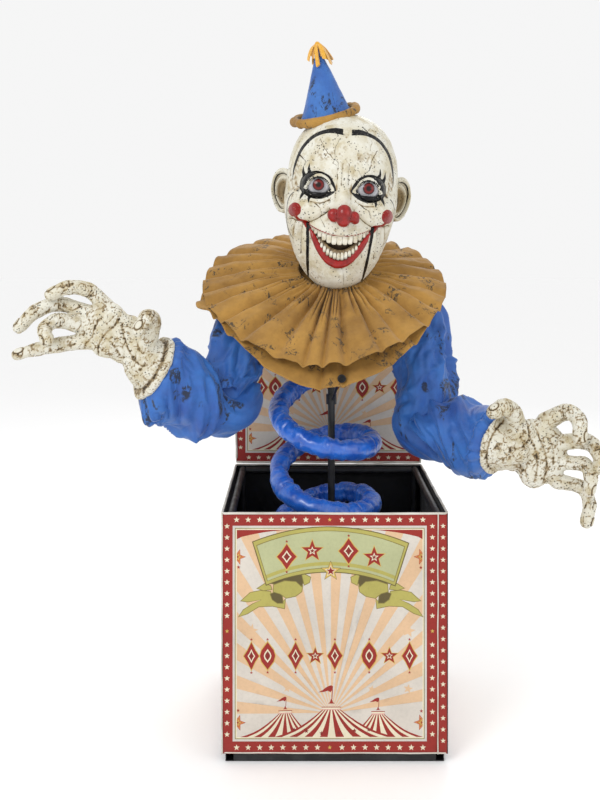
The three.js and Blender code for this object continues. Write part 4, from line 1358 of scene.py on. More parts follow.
def sculpted():
    """The face's surface, and for each place its paint and the depth of its creases."""
    bare, slot = skull_grid()
    n = grid_normals(bare)
    x, z = bare[..., 0], bare[..., 2]
    facing = smoothstep(0.02, 0.3, -n[..., 1])
    h = face_relief(x, z) * facing
    h += 1.6 * fbm(bare, 60, 2, 81) + 0.5 * fbm(bare, 9, 3, 83)
    front = -n[..., 1] > 0.02
    h -= smoothstep(-1.0, 0.6, crack_field(x, z)) * front
    p = bare + n * h[..., None]
    # lids wrap the eyeballs; inside each opening the shell is pushed in behind the ball
    inside_eye = np.where(front, eye_field(p[..., 0], p[..., 2]), OUTSIDE)
    for s in (-1, 1):
        lid = eye_front(p[..., 0], p[..., 2], s, 3.0)
        over = smoothstep(-2.5, 2.5, p[..., 1] - lid) * (np.sign(x) == s) * front
        p[..., 1] = p[..., 1] * (1 - over) + lid * over
    hole = smoothstep(-0.4, 1.4, inside_eye)
    p[..., 1] = p[..., 1] * (1 - hole) - 88 * hole
    upper, lower = lip(x, MOUTH["upper"]), lip(x, MOUTH["lower"])
    in_mouth = np.minimum(np.minimum(upper - z, z - lower) * 0.85, (66 - np.abs(x)) * 1.2)
    mouth = np.where(front, in_mouth, OUTSIDE)
    hollow = smoothstep(-0.5, 3.5, mouth)
    p[..., 1] += 21 * hollow * (1 - 0.35 * (x / 66) ** 2)
    black, red = face_paint(p[..., 0], p[..., 2])
    black, red = np.where(front, black, OUTSIDE), np.where(front, red, OUTSIDE)
    near = sum(np.roll(h, k, axis) for k, axis in ((2, 0), (-2, 0), (3, 1), (-3, 1))) / 4
    wide = sum(np.roll(h, k, axis) for k, axis in ((7, 0), (-7, 0), (10, 1), (-10, 1))) / 4
    wash = np.clip((near - h) * 0.75 + (wide - h) * 0.16 - 0.04, 0, 1.4)
    lid_skin = smoothstep(-10, -7, inside_eye)
    # extra dark along the creases beside the jaw's slots: painted shade, added to the brown wash in them
    beside = [(83, -64, 4.5), (85, -82, 4.5), (81, -112, 4.0)]
    wash = (wash + 0.6 * sum(dent(x, z, side) for side in both_sides(beside))) * facing * (1 - lid_skin)
    black = np.where(inside_eye > -0.6, 3, black)
    return {"p": p, "slot": slot, "black": black, "red": red, "wash": wash, "mouth": mouth, "x": x, "z": z}


def painted_shell(name, painted=True):
    """Bone-white paint over a cast shell, with brown wash in its creases, specks and, on the face, make-up; on
    the face the wash also carries painted shade along the creases beside the jaw's slots.
    """
    s = Shader(name, Specular_IOR_Level=0.22)
    base = s.mix(srgb("dad8cc"), srgb("c9c2ab"), s.ramp(s.noise(0.05, 5, 0.65), (0.42, 0), (0.66, 1)))
    stain = s.ramp(s.noise(0.03, 5, 0.6), (0.5, 0), (0.66, 1))
    base = s.mix(base, srgb("a8945f"), s.math("MULTIPLY", stain, 0.55))
    wash = s.attribute("wash")
    base = s.mix(base, srgb("8a7145"), s.ramp(wash, (0.06, 0), (0.5, 0.85)))
    base = s.mix(base, srgb("2b2118"), s.ramp(wash, (0.5, 0), (1.0, 0.9)))
    specks = s.add("ShaderNodeTexVoronoi", {"Vector": s.coords, "Scale": 1 / 0.0062, "Randomness": 1.0})
    size = s.ramp(s.noise(0.035, 3, 0.6), (0.36, 0.03), (0.6, 0.27))
    spot = s.math("LESS_THAN", specks.outputs["Distance"], size)
    base = s.mix(base, srgb("2a241b"), s.math("MULTIPLY", spot, 0.85))
    if painted:
        black = s.ramp(s.math("MULTIPLY_ADD", s.attribute("black"), 0.1), (0.475, 0), (0.53, 1))
        red = s.ramp(s.math("MULTIPLY_ADD", s.attribute("red"), 0.1), (0.475, 0), (0.53, 1))
        worn = s.ramp(s.noise(0.004, 4, 0.7), (0.28, 0.35), (0.4, 1))
        red_paint = s.mix(srgb("9c1813"), srgb("6c0f0b"), s.noise(0.012, 3))
        base = s.mix(base, red_paint, s.math("MULTIPLY", red, worn))
        base = s.mix(base, srgb("08080a"), s.math("MULTIPLY", black, worn))
        dark = s.ramp(s.attribute("inside"), (0.1, 0), (0.8, 1))
        base = s.mix(base, s.mix(srgb("54402c"), srgb("1a120c"), s.noise(0.012, 4)), dark)
        s.set("Roughness", s.ramp(s.math("MAXIMUM", black, red), (0, 0.5), (1, 0.28)))
    else:
        s.set("Roughness", s.ramp(s.noise(0.01, 4), (0.3, 0.45), (0.7, 0.62)))
    s.set("Base Color", base)
    first = s.bump(s.noise(0.006, 5, 0.7), 0.0006, 0.35)
    s.bump(s.noise(0.0011, 3, 0.6), 0.00012, 0.35, first)
    return s.material


def tooth_enamel():
    s = Shader("tooth_enamel", Specular_IOR_Level=0.55, Coat_Weight=0.3, Coat_Roughness=0.2)
    base = s.mix(srgb("dcd8ca"), srgb("b9ac8a"), s.ramp(s.noise(0.012, 4), (0.4, 0), (0.75, 1)))
    s.set("Base Color", s.mix(base, srgb("4e3b22"), s.ramp(s.attribute("root"), (0.35, 0), (1.0, 0.9))))
    s.set("Roughness", s.ramp(s.noise(0.006, 3), (0.3, 0.25), (0.7, 0.45)))
    s.bump(s.noise(0.004, 4), 0.0004, 0.3)
    return s.material


def eye_gloss():
    """White ball that greys towards its edge as painted shade, red iris with a dark edge and rays, black pupil,
    all under a clear coat.
    """
    s = Shader("eye_gloss", Roughness=0.3, Specular_IOR_Level=0.15, Coat_Weight=0.5, Coat_Roughness=0.04)
    out = s.attribute("from_pupil")
    rays = s.noise(0.0022, 4, 0.6)
    # beyond the iris the white greys towards the ball's edge: painted shade
    stops = ((0.0, "190505"), (0.155, "190505"), (0.175, "4a0806"), (0.27, "7c120e"), (0.36, "560a08"),
             (0.40, "150505"), (0.435, "9b9ba0"), (0.62, "bcbcc0"), (0.85, "77767c"))
    iris = s.ramp(out, *[(place, srgb(colour)) for place, colour in stops])
    s.set("Base Color", s.mix(iris, s.ramp(rays, (0.3, 0.75), (0.7, 1.0)), 1.0, "MULTIPLY"))
    return s.material


M["shell"] = painted_shell("painted_shell")
M["hand"] = painted_shell("painted_hand", False)
M["nose"] = mottled("nose_red", "98130f", "660b08", (0.3, 0.35, 0.12), (0.018, 5, 0.6), (0.4, 0.72),
                    (0.01, 0.22, 0.36), ((0.007, 4, 0.6), 0.0008, 0.4))
M["tooth"] = tooth_enamel()
M["eye"] = eye_gloss()
M["rim"] = mottled("lid_white", "c9c9c4", "9d9a92", (0.5, 0.2, 0.2), (0.006, 4), (0.4, 0.7),
                   (0.008, 0.35, 0.5), ((0.003, 3), 0.0003, 0.3))
M["ink"] = mottled("lid_black", "09090b", "1b1b1e", (0.3, 0.15, 0.2), (0.008, 4), (0.4, 0.75),
                   (0.01, 0.3, 0.42), ((0.004, 3), 0.0003, 0.3))
FACE = sculpted()


def face_piece(name, keep, thick, gap):
    """The kept faces of the sculpted grid as a shell of its own, with its edge moved back from each slot."""
    p = FACE["p"].copy()
    slots = [FACE["slot"], -FACE["slot"]]
    below = smoothstep(-64, -70, FACE["z"][:, :1])
    p[:, slots, 0] += np.sign(p[:, slots, 0]) * gap * below
    p[:, slots, 1] += 1.2 * below
    rows, columns = p.shape[:2]
    faces = grid_faces(rows, columns, False, True)[keep.ravel()]
    used, faces = used_only(rows * columns, faces)
    obj = new_object(name, head_place(p.reshape(-1, 3)[used]), faces, [M["shell"]])
    for field in ("black", "red", "wash"):
        store(obj, field, FACE[field].ravel()[used])
    store(obj, "inside", smoothstep(1.0, 5.0, FACE["mouth"]).ravel()[used])
    thicken(obj, thick)
    return obj


def head_shells():
    columns, slot = FACE["p"].shape[1], FACE["slot"]
    j = np.arange(columns)[None]
    x, z, p = FACE["x"][:-1], FACE["z"][:-1], FACE["p"][:-1]
    front = (j < slot) | (j >= columns - slot)
    middle = 0.5 * (lip(x, MOUTH["upper"]) + lip(x, MOUTH["lower"]))
    in_jaw = front & (z < middle) & (z < -66)
    under = in_jaw & (p[..., 1] > -48)
    neck = (np.hypot(p[..., 0] + 20, p[..., 1] - 22) < 64) & (z < -112) & ~front
    head = face_piece("head_casting", ~in_jaw & ~neck, 0.004, 1.3)
    jaw = face_piece("jaw_casting", in_jaw & ~under, 0.004, -1.3)
    finish_piece(head, "head", ["head_shell"])
    finish_piece(jaw, "jaw", ["jaw_shell"])


head_shells()


def on_face(x, z, out=0.0):
    """A place on the sculpted face at x and z, moved out of it."""
    p = FACE["p"].reshape(-1, 3)
    bare_x, bare_z = FACE["x"].ravel(), FACE["z"].ravel()
    ok = p[:, 1] < -20
    i = np.flatnonzero(ok)[np.argmin((bare_x[ok] - x) ** 2 + (bare_z[ok] - z) ** 2)]
    return np.array([x, p[i, 1] - out, z])


def unit_ball(n):
    """Points on a ball of radius 1 in n rings of 2n, from its top down."""
    a, b = np.linspace(0, math.pi, n)[:, None], full_turn(2 * n)
    return xyz(np.sin(a) * np.cos(b), np.sin(a) * np.sin(b), np.cos(a)).reshape(-1, 3)


def ball_faces(n, count):
    return np.vstack([grid_faces(n, 2 * n, False, True) + k * 2 * n * n for k in range(count)])


def blob(name, balls, material, voxel, rounds, place=head_place):
    """Balls (centre, radii) melted into one smooth form."""
    ball = unit_ball(20)
    verts = np.vstack([ball * radii + centre for centre, radii in balls])
    obj = new_object(name, place(verts), ball_faces(20, len(balls)), [material])
    remesh = obj.modifiers.new("remesh", "REMESH")
    remesh.mode = "VOXEL"
    remesh.voxel_size = voxel
    remesh.use_smooth_shade = True
    smooth = obj.modifiers.new("soften", "SMOOTH")
    smooth.iterations = rounds
    smooth.factor = 0.6
    fixed = bpy.data.meshes.new_from_object(obj.evaluated_get(bpy.context.evaluated_depsgraph_get()))
    obj.modifiers.clear()
    obj.data = fixed
    return obj


def points_of(obj):
    p = np.empty(len(obj.data.vertices) * 3)
    obj.data.vertices.foreach_get("co", p)
    return p.reshape(-1, 3)


def normals_of(obj):
    n = np.empty(len(obj.data.vertices) * 3)
    obj.data.vertices.foreach_get("normal", n)
    return n.reshape(-1, 3)


def nose():
    balls = [((4, -157, -40), (17, 15, 20)), ((4, -154, -55), (14, 13, 13)), ((-17, -148, -43), (14, 12, 14)),
             ((25, -148, -45), (13, 12, 13)), ((28, -146, -51), (10, 10, 9)), ((-16, -146, -50), (11, 11, 9))]
    finish_piece(blob("nose", balls, M["nose"], 0.0016, 5), "head")


nose()


def eyeball(side, s):
    n = 56
    ball = unit_ball(n)[:, [0, 2, 1]] * [1, -1, 1]
    size = EYE["size"]
    from_front = np.repeat(np.linspace(0, math.pi, n), 2 * n)
    bulge = 1 + 0.035 * np.exp(-((from_front * size[1] / 10) ** 2))
    local = ball * size * bulge[:, None]
    obj = new_object(f"eye_{side}", head_place(local + [s * EYE["x"], EYE["y"], EYE["z"]]),
                     ball_faces(n, 1), [M["eye"]])
    # the iris looks a little outwards and is round although the ball isn't
    off = np.hypot(local[:, 0] - s * 3, local[:, 2])
    store(obj, "from_pupil", np.where(local[:, 1] < 0, np.clip(off / 30, 0, 1), 1))
    finish_piece(obj, "head", [f"eyeball_{side}"])


def opening_edge(t, way):
    """Height of an eye's edge as t goes from the inner corner to the outer one."""
    return OPENING["z"] + OPENING[way] * float(almond(min(1, max(0, t))))


def lids(side, s):
    """The rims of the lids: a pale fold over the eye and black rims above and below the opening."""

    def edge(name, way, raised, radius, grow, material, start, end):
        u = np.linspace(0, 1, 44)
        x = s * (start + (end - start) * u)
        z = np.array([opening_edge(t, way) + raised for t in u])
        y = np.minimum(eye_front(x, z, s, grow), [on_face(a, b)[1] + 0.6 for a, b in zip(x, z)])
        y = np.convolve(np.pad(y, 3, "edge"), np.ones(7) / 7, "valid")
        thin = np.sin(math.pi * np.clip(u, 0.04, 0.96)) ** 0.5
        path = np.stack([x, y, z], axis=1)
        piece = tube(f"{name}_{side}", head_place(path), radius * thin * MM, material, 12, up=(0.1, 1, 0.1))
        finish_piece(piece, "head")

    edge("upper_lid", "above", 0.2, 1.7, 4.6, M["ink"], 22, 79)
    edge("lower_lid", "below", -0.8, 2.4, 1.8, M["ink"], 22, 79)
    edge("lid_fold", "above", 3.3, 2.3, 3.0, M["rim"], 20, 82)


for side, s in (("left", -1), ("right", 1)):
    eyeball(side, s)
    lids(side, s)


def lip_roll(name, body, depth, wide, tall, out, drop, look, span=0.96):
    """A rounded lip along the smile, with its half sizes at the middle and at the ends."""
    u = np.linspace(-span, span, 90)
    x = u * MOUTH["half"]
    z = np.array([float(lip(a, depth)) for a in x])
    skin = [on_face(a, b - look)[1] for a, b in zip(x, z)]
    path = np.stack([x, skin, z - drop * (1 - (x / 69) ** 2)], axis=1)
    path[:, 1] = np.convolve(np.pad(path[:, 1], 6, "edge"), np.ones(13) / 13, "valid") - out
    size = wide[0] + (wide[1] - wide[0]) * np.abs(u) ** 1.5
    high = tall[0] + (tall[1] - tall[0]) * np.abs(u) ** 1.5
    ends = np.sqrt(np.clip((1 - np.abs(u) / (span + 0.015)) * 8, 0.02, 1))
    a = full_turn(16)[0]
    tangent = tangents(path)
    across = units(np.cross(tangent, [0, -1, 0]))
    forward = np.cross(across, tangent)
    lumps = 1 + 0.08 * fbm(np.column_stack([x, 0 * x, 0 * x]), 14, 2, 93)
    verts = (path[:, None] + (high * ends * lumps)[:, None, None] * np.sin(a)[None, :, None] * across[:, None]
             + (size * ends)[:, None, None] * np.cos(a)[None, :, None] * forward[:, None])
    obj = new_object(name, head_place(verts), capped_faces(len(u), 16), [M["nose"]])
    smoother(obj)
    finish_piece(obj, body)


lip_roll("upper_lip", "head", MOUTH["upper"], (1.3, 1.1), (1.1, 1.0), 0.0, 0.5, -4)
lip_roll("lower_lip", "jaw", MOUTH["lower"], (8.5, 4.0), (11.0, 4.0), 3.4, 7.5, 1.5, 0.91)


def teeth(name, count, half, top_of, height, width, arc_back, point):
    """A row of rounded teeth on an arc: top_of(x) is the root's height, height(x) is downwards."""
    verts, root = [], []
    even = np.linspace(-1, 1, count + 1)
    places = half * (1.22 * even - 0.22 * even**3)
    middle = (places[:-1] + places[1:]) / 2
    n = 14
    ball = unit_ball(n)
    box = np.sign(ball) * np.abs(ball) ** 0.45
    up = box[:, 2]
    for k, x in enumerate(middle):
        w = (places[k + 1] - places[k]) * 0.5 * width
        root_z, tall = top_of(x), height(x)
        lean = 0.12 * math.sin(k * 2.7)
        taper = 1 - point * np.clip(-up * np.sign(tall), 0, 1) ** 2
        px = x + w * box[:, 0] * taper + lean * up * 2
        py = on_arc(x, arc_back) + 4.2 * box[:, 1] * taper + 1.3 * (up * np.sign(tall)) ** 2
        pz = root_z - tall / 2 + up * abs(tall) / 2 * (1 + 0.07 * math.sin(k * 5.1))
        verts.append(xyz(px, py, pz))
        root.append(np.clip(0.5 + 0.5 * up * np.sign(tall), 0, 1) ** 2 + 0.25 * np.abs(box[:, 0]) ** 6)
    obj = new_object(name, head_place(np.vstack(verts)), ball_faces(n, len(middle)), [M["tooth"]])
    store(obj, "root", np.concatenate(root))
    return obj


def on_arc(x, back):
    return -128 * math.sqrt(max(0.05, 1 - (x / 98) ** 2)) - 10 + back


upper_teeth = teeth("teeth_upper", 13, 61, lambda x: float(lip(x, MOUTH["upper"])) + 3,
                    lambda x: 25 - 11 * (x / 60) ** 2, 1.03, 7.0, 0.08)
finish_piece(upper_teeth, "head", ["upper_teeth"])
lower_teeth = teeth("teeth_lower", 17, 55, lambda x: float(lip(x, MOUTH["lower"])) - 1,
                    lambda x: -(16 - 5 * (x / 54) ** 2), 0.95, 10.5, 0.32)


def gums(name, body, depth, rise, back):
    """A strip of gum behind a row of teeth."""
    u = np.linspace(-0.92, 0.92, 70)
    path = np.array([(a * MOUTH["half"], on_arc(a * MOUTH["half"], back),
                      float(lip(a * MOUTH["half"], depth)) + rise) for a in u])
    path += 0.6 * np.stack([fbm(path, 7, 2, 95 + k) for k in range(3)], axis=1)
    size = np.interp(np.abs(u), [0, 0.8, 0.92], [7.5, 5.0, 1.0])
    piece = tube(name, head_place(path), size * MM, M["gum"], 14, up=(0, 1, 0.1))
    smoother(piece)
    finish_piece(piece, body)
    return piece


M["gum"] = mottled("gum_paint", "a08a66", "4b3826", (0.5, 0.2, 0.3), (0.009, 5, 0.7), (0.35, 0.65),
                   (0.01, 0.35, 0.5), ((0.004, 4), 0.0007, 0.5))
gums("gum_upper", "head", MOUTH["upper"], -4, 15)
gums("gum_lower", "jaw", MOUTH["lower"], 14, 19)


def jaw_works():
    """The rod and arms that carry the jaw, joined to the lower teeth's row."""
    ends = [((s * 44, -86, -134), (s * 44, 18, -32)) for s in (-1, 1)] + [((-64, 18, -32), (64, 18, -32))]
    for k, (a, b) in enumerate(ends):
        rod = tube(f"jaw_rod_{k}", head_place(straight(a, b, 12)), 0.0039, M["frame"], 16, up=(0.1, 0.2, 1))
        finish_piece(rod, "jaw", ["lower_teeth"] if k == 2 else ())


jaw_works()
finish_piece(lower_teeth, "jaw", ["lower_teeth"])


def throat():
    """The dark back of the mouth, on the head."""
    n = 30
    u, v = np.linspace(-1, 1, n)[:, None], np.linspace(0, 1, n)[None]
    x = u * 58
    z = -74 - v * 46 * (1 - 0.35 * u * u)
    y = -100 + 30 * u * u + 2.0 * fbm(xyz(x, z, 0), 20, 2, 97)
    obj = new_object("mouth_back", head_place(xyz(x, y, z)), grid_faces(n, n), [M["gum"]])
    thicken(obj, 0.002)
    finish_piece(obj, "head")


throat()


def ear(side, s):
    """A flared ear: a dish with a rolled rim, an inner ridge and a deep hollow."""
    rings, around = 40, 96
    a = full_turn(around)
    t = np.linspace(0.0, 1.0, rings)[:, None]
    # outline: tall, wider above, with a lobe; 0 at the outer side
    p_out = 25 * np.cos(a) * (1 + 0.12 * np.sin(a))
    q_out = 50 * np.sin(a) * (1 - 0.06 * np.cos(a))
    p = 22 + p_out * t - 4 * (1 - t)
    q = 4 + q_out * t - 6 * (1 - t)
    outer = np.clip(np.cos(a * 0.5) ** 2, 0, 1)
    rim = np.exp(-(((t - 0.9) / 0.09) ** 2)) * (0.35 + 0.65 * outer)
    ridge = np.exp(-(((t - 0.62) / 0.10) ** 2)) * (0.2 + 0.8 * outer)
    gutter = np.exp(-(((t - 0.76) / 0.055) ** 2)) * (0.2 + 0.8 * outer)
    bowl = np.exp(-((t / 0.42) ** 2))
    height = 8 * rim + 6 * ridge - 5 * gutter - 15 * bowl + 9 * t * (0.4 + 0.6 * outer)
    tragus = 9 * np.exp(-(((p - 6) / 6) ** 2) - ((q + 6) / 9) ** 2)
    height = height + tragus + 0.8 * fbm(xyz(p, q, 0), 12, 3, 99 + s)
    back = -7 - 9 * (1 - t**2)
    out_way = unit((s * 0.86, 0.42, 0.0))
    face_way = unit((s * 0.42, -0.86, 0.04))
    root = np.array([s * 110, 2, 4], float)
    tilt = 0.10 * s

    def place(w):
        up_way = np.array([tilt * 0.4, 0, 1])
        return (root + p[..., None] * out_way + q[..., None] * up_way + w[..., None] * face_way).reshape(-1,
                                                                                                         3)

    front_side, back_side = place(height), place(back + 0 * p)
    n = rings * around
    faces = [tuple(f) for f in grid_faces(rings, around, False, True)]
    faces += [tuple(i + n for i in f[::-1]) for f in faces]
    last = (rings - 1) * around
    for k in range(around):
        m = (k + 1) % around
        faces.append((last + k, last + m, last + m + n, last + k + n)[::-1])
    obj = new_object(f"ear_{side}", head_place(np.vstack([front_side, back_side])), faces, [M["shell"]])
    line = 0.7 - np.abs((t - 0.79 - 0.03 * np.sin(2 * a)) * 36)
    line = np.where((outer > 0.25) * np.ones_like(t) > 0, line, OUTSIDE)
    wash = 1.05 * bowl + 0.35 * gutter + 0.4 * np.exp(-(((t - 0.48) / 0.07) ** 2)) * outer + 0 * a
    store(obj, "black", np.concatenate([line.ravel(), np.full(n, OUTSIDE)]))
    store(obj, "red", np.full(2 * n, OUTSIDE))
    store(obj, "wash", np.concatenate([wash.ravel(), np.zeros(n)]))
    store(obj, "inside", np.zeros(2 * n))
    melt = obj.modifiers.new("weld", "WELD")
    melt.merge_threshold = 0.00002
    smoother(obj)
    finish_piece(obj, "head")


for side, s in (("left", -1), ("right", 1)):
    ear(side, s)

# ---- Hat ----
HAT_AT = np.array([-48, 2, 182], float)
HAT_TIP, HAT_NOD = math.radians(-18), math.radians(14)


def hat_place(p):
    p = np.asarray(p, float)
    y = p[..., 1] * math.cos(HAT_NOD) - p[..., 2] * math.sin(HAT_NOD)
    up = p[..., 1] * math.sin(HAT_NOD) + p[..., 2] * math.cos(HAT_NOD)
    x = p[..., 0] * math.cos(HAT_TIP) + up * math.sin(HAT_TIP)
    z = -p[..., 0] * math.sin(HAT_TIP) + up * math.cos(HAT_TIP)
    return head_place(np.stack([x, y, z], axis=-1) + HAT_AT)


HAT_SHEAR = 17


def hat_cone():
    rings, around = 70, 96
    t = np.linspace(0, 1, rings)[:, None]
    a = full_turn(around)
    z = 2 + 146 * t
    q = xyz(40 * np.cos(a) * (1 - t), 40 * np.sin(a) * (1 - t), z)
    creases = fbm(q * [1, 1, 0.55], 26, 3, 103)
    r = 55 * (1 - t) ** 0.96 + 1.8 * creases * (1 - t) ** 0.3 + 1.5 + 2.2 * np.exp(-t / 0.04)
    bend = HAT_SHEAR * z / 160
    verts = xyz(r * np.cos(a) + bend, r * np.sin(a), z)
    obj = new_object("hat_crown", hat_place(verts), capped_faces(rings, around), [M["hat_blue"]])
    finish_piece(obj, "head", ["hat_cone"])


def hat_brim():
    rings, around = 220, 28
    u = full_turn(rings)[0]
    path = xyz(69 * np.cos(u), 63 * np.sin(u), 3.5 * np.cos(2 * u) + 1.0 * np.sin(3 * u))
    a = full_turn(around)
    pucker = fbm(xyz(path[:, 0], path[:, 1], 0), 9, 2, 107)[:, None]
    tuck = np.exp(-((np.minimum(np.abs(a - math.pi), 2 * math.pi - np.abs(a - math.pi)) / 0.4) ** 2))
    ends = np.cos(u)[:, None] ** 8
    r = 9.6 + (1.5 + 1.6 * ends) * pucker * (0.6 + 0.4 * np.cos(a + 1)) - 1.6 * tuck - 0.8 * ends
    outward = xyz(np.cos(u), np.sin(u), 0)
    ring = np.cos(a)[..., None] * outward[:, None] * 1.05 + np.sin(a)[..., None] * np.array([0, 0, 1.15])
    verts = path[:, None] + r[..., None] * ring
    obj = new_object("hat_roll", hat_place(verts), grid_faces(rings, around, True, True), [M["gold"]])
    settle(obj, (tuck * np.ones((rings, 1)) > 0.8).ravel() * 1.0, 10, 2.0, 0.07, 0.0, 0.002, 12, 0.1)
    smoother(obj)
    finish_piece(obj, "head", ["hat_brim"])


def tassel():
    """Felt strips tied over the hat's tip."""
    strips = 17
    joined_verts, joined_faces = [], []
    for k in range(strips):
        a = 2 * math.pi * k / strips + 0.2 * math.sin(3 * k)
        flare = 21 + 7 * math.sin(2.3 * k)
        fall = 42 + 12 * math.sin(1.7 * k + 1)
        steps = np.linspace(0, 1, 14)
        r = 2 + flare * steps**0.8
        z = 158 - fall * steps**1.5 + 5 * np.sin(math.pi * steps * 0.5)
        twist = 0.5 * np.sin(2.5 * steps + k)
        width = 5.2 * (0.62 + 0.38 * steps) * (1 - 0.12 * steps**4)
        middle = xyz(HAT_SHEAR + r * np.cos(a + 0.12 * twist), r * np.sin(a + 0.12 * twist), z)
        across = xyz(-math.sin(a) * np.cos(twist), math.cos(a) * np.cos(twist), np.sin(twist))
        outwards = units(np.cross(np.gradient(middle, axis=0), across))
        start = sum(len(v) for v in joined_verts)
        for w, o in ((-1, 0.7), (1, 0.7), (1, -0.7), (-1, -0.7)):
            joined_verts.append(middle + across * (w * width)[:, None] + outwards * o)
        n = len(steps)
        for c in range(4):
            d = (c + 1) % 4
            for i in range(n - 1):
                here, there = start + c * n + i, start + d * n + i
                joined_faces.append((here, there, there + 1, here + 1))
        joined_faces.append(tuple(start + c * n for c in range(4))[::-1])
        joined_faces.append(tuple(start + c * n + n - 1 for c in range(4)))
    obj = new_object("hat_tassel_strips", hat_place(np.vstack(joined_verts)), joined_faces, [M["felt"]],
                     smooth=False)
    finish_piece(obj, "head", ["hat_tassel"])
    balls = [((HAT_SHEAR, 0, 158), (6, 6, 6)), ((HAT_SHEAR, 0, 152), (7, 7, 5))]
    knot = blob("hat_knot", balls, M["felt"], 0.0012, 3, hat_place)
    finish_piece(knot, "head")


hat_cone()
hat_brim()
tassel()

# ---- Hands: places from the wrist, in millimetres out along the arm, to the front and up ----
HANDS = {
    "left": {
        "palm": [[14, 2, 20, 44, 30, 44], [52, 2, 56, 46, 27, 50], [96, 2, 84, 48, 24, 50],
                 [24, 22, 40, 30, 20, 34],
                 [86, 12, 48, 34, 22, 30]],
        "fingers": {
            "index": [[97, 0, 126, 20], [126, 12, 158, 17], [165, 30, 166, 17], [200, 40, 152, 14]],
            "middle": [[130, 0, 110, 20], [186, 10, 130, 17], [234, 20, 116, 16.5], [270, 24, 82, 14]],
            "ring": [[142, 6, 84, 19], [188, 34, 98, 16.5], [208, 58, 82, 15.5], [198, 74, 60, 13.5]],
            "pinky": [[136, 8, 52, 19], [190, 14, 46, 16.5], [236, 22, 36, 15.5], [272, 26, 27, 13]],
            "thumb": [[6, 18, 56, 26], [-6, 40, 94, 22], [-2, 62, 104, 19], [14, 80, 82, 15]],
        },
        "creases": [[(63, 99), (75, 82), (92, 69), (104, 46), (108, 25)],
                    [(57, 92), (52, 65), (38, 32), (25, 19)],
                    [(118, 65), (132, 46), (142, 12)], [(84, 60), (70, 44), (62, 26)],
                    [(20, 12), (44, 22), (64, 18)],
                    [(100, 104), (112, 84), (118, 66)]],
        "rim": 9.5,
    },
    "right": {
        "palm": [[30, 4, -2, 44, 30, 50], [62, 6, -8, 42, 27, 62], [96, 10, -18, 38, 24, 60],
                 [36, 22, 26, 28, 20, 32],
                 [66, 18, -52, 30, 20, 34]],
        "fingers": {
            "index": [[92, 8, 50, 21], [130, 28, 74, 18], [150, 52, 62, 17.5], [147, 68, 26, 15]],
            "middle": [[116, 12, 6, 20], [168, 32, 14, 18], [190, 56, -4, 17], [187, 70, -34, 14.5]],
            "ring": [[120, 12, -34, 19], [164, 38, -34, 16.5], [172, 62, -54, 16], [164, 72, -80, 13.5]],
            "pinky": [[116, 10, -74, 19], [162, 24, -84, 16], [176, 38, -114, 15.5], [168, 44, -152, 13.5]],
            "thumb": [[26, 16, 44, 26], [14, 40, 76, 21], [-6, 60, 90, 19], [-30, 70, 80, 15.5]],
        },
        "creases": [[(54, 29), (69, -26), (62, -68)], [(69, 38), (88, -26), (82, -77)],
                    [(48, 55), (51, 19), (28, 3), (3, 6)], [(40, 40), (30, 22), (12, 22)],
                    [(96, 20), (104, -14), (100, -44)], [(20, -22), (36, -40), (46, -60)]],
        "rim": 5.0,
    },
}


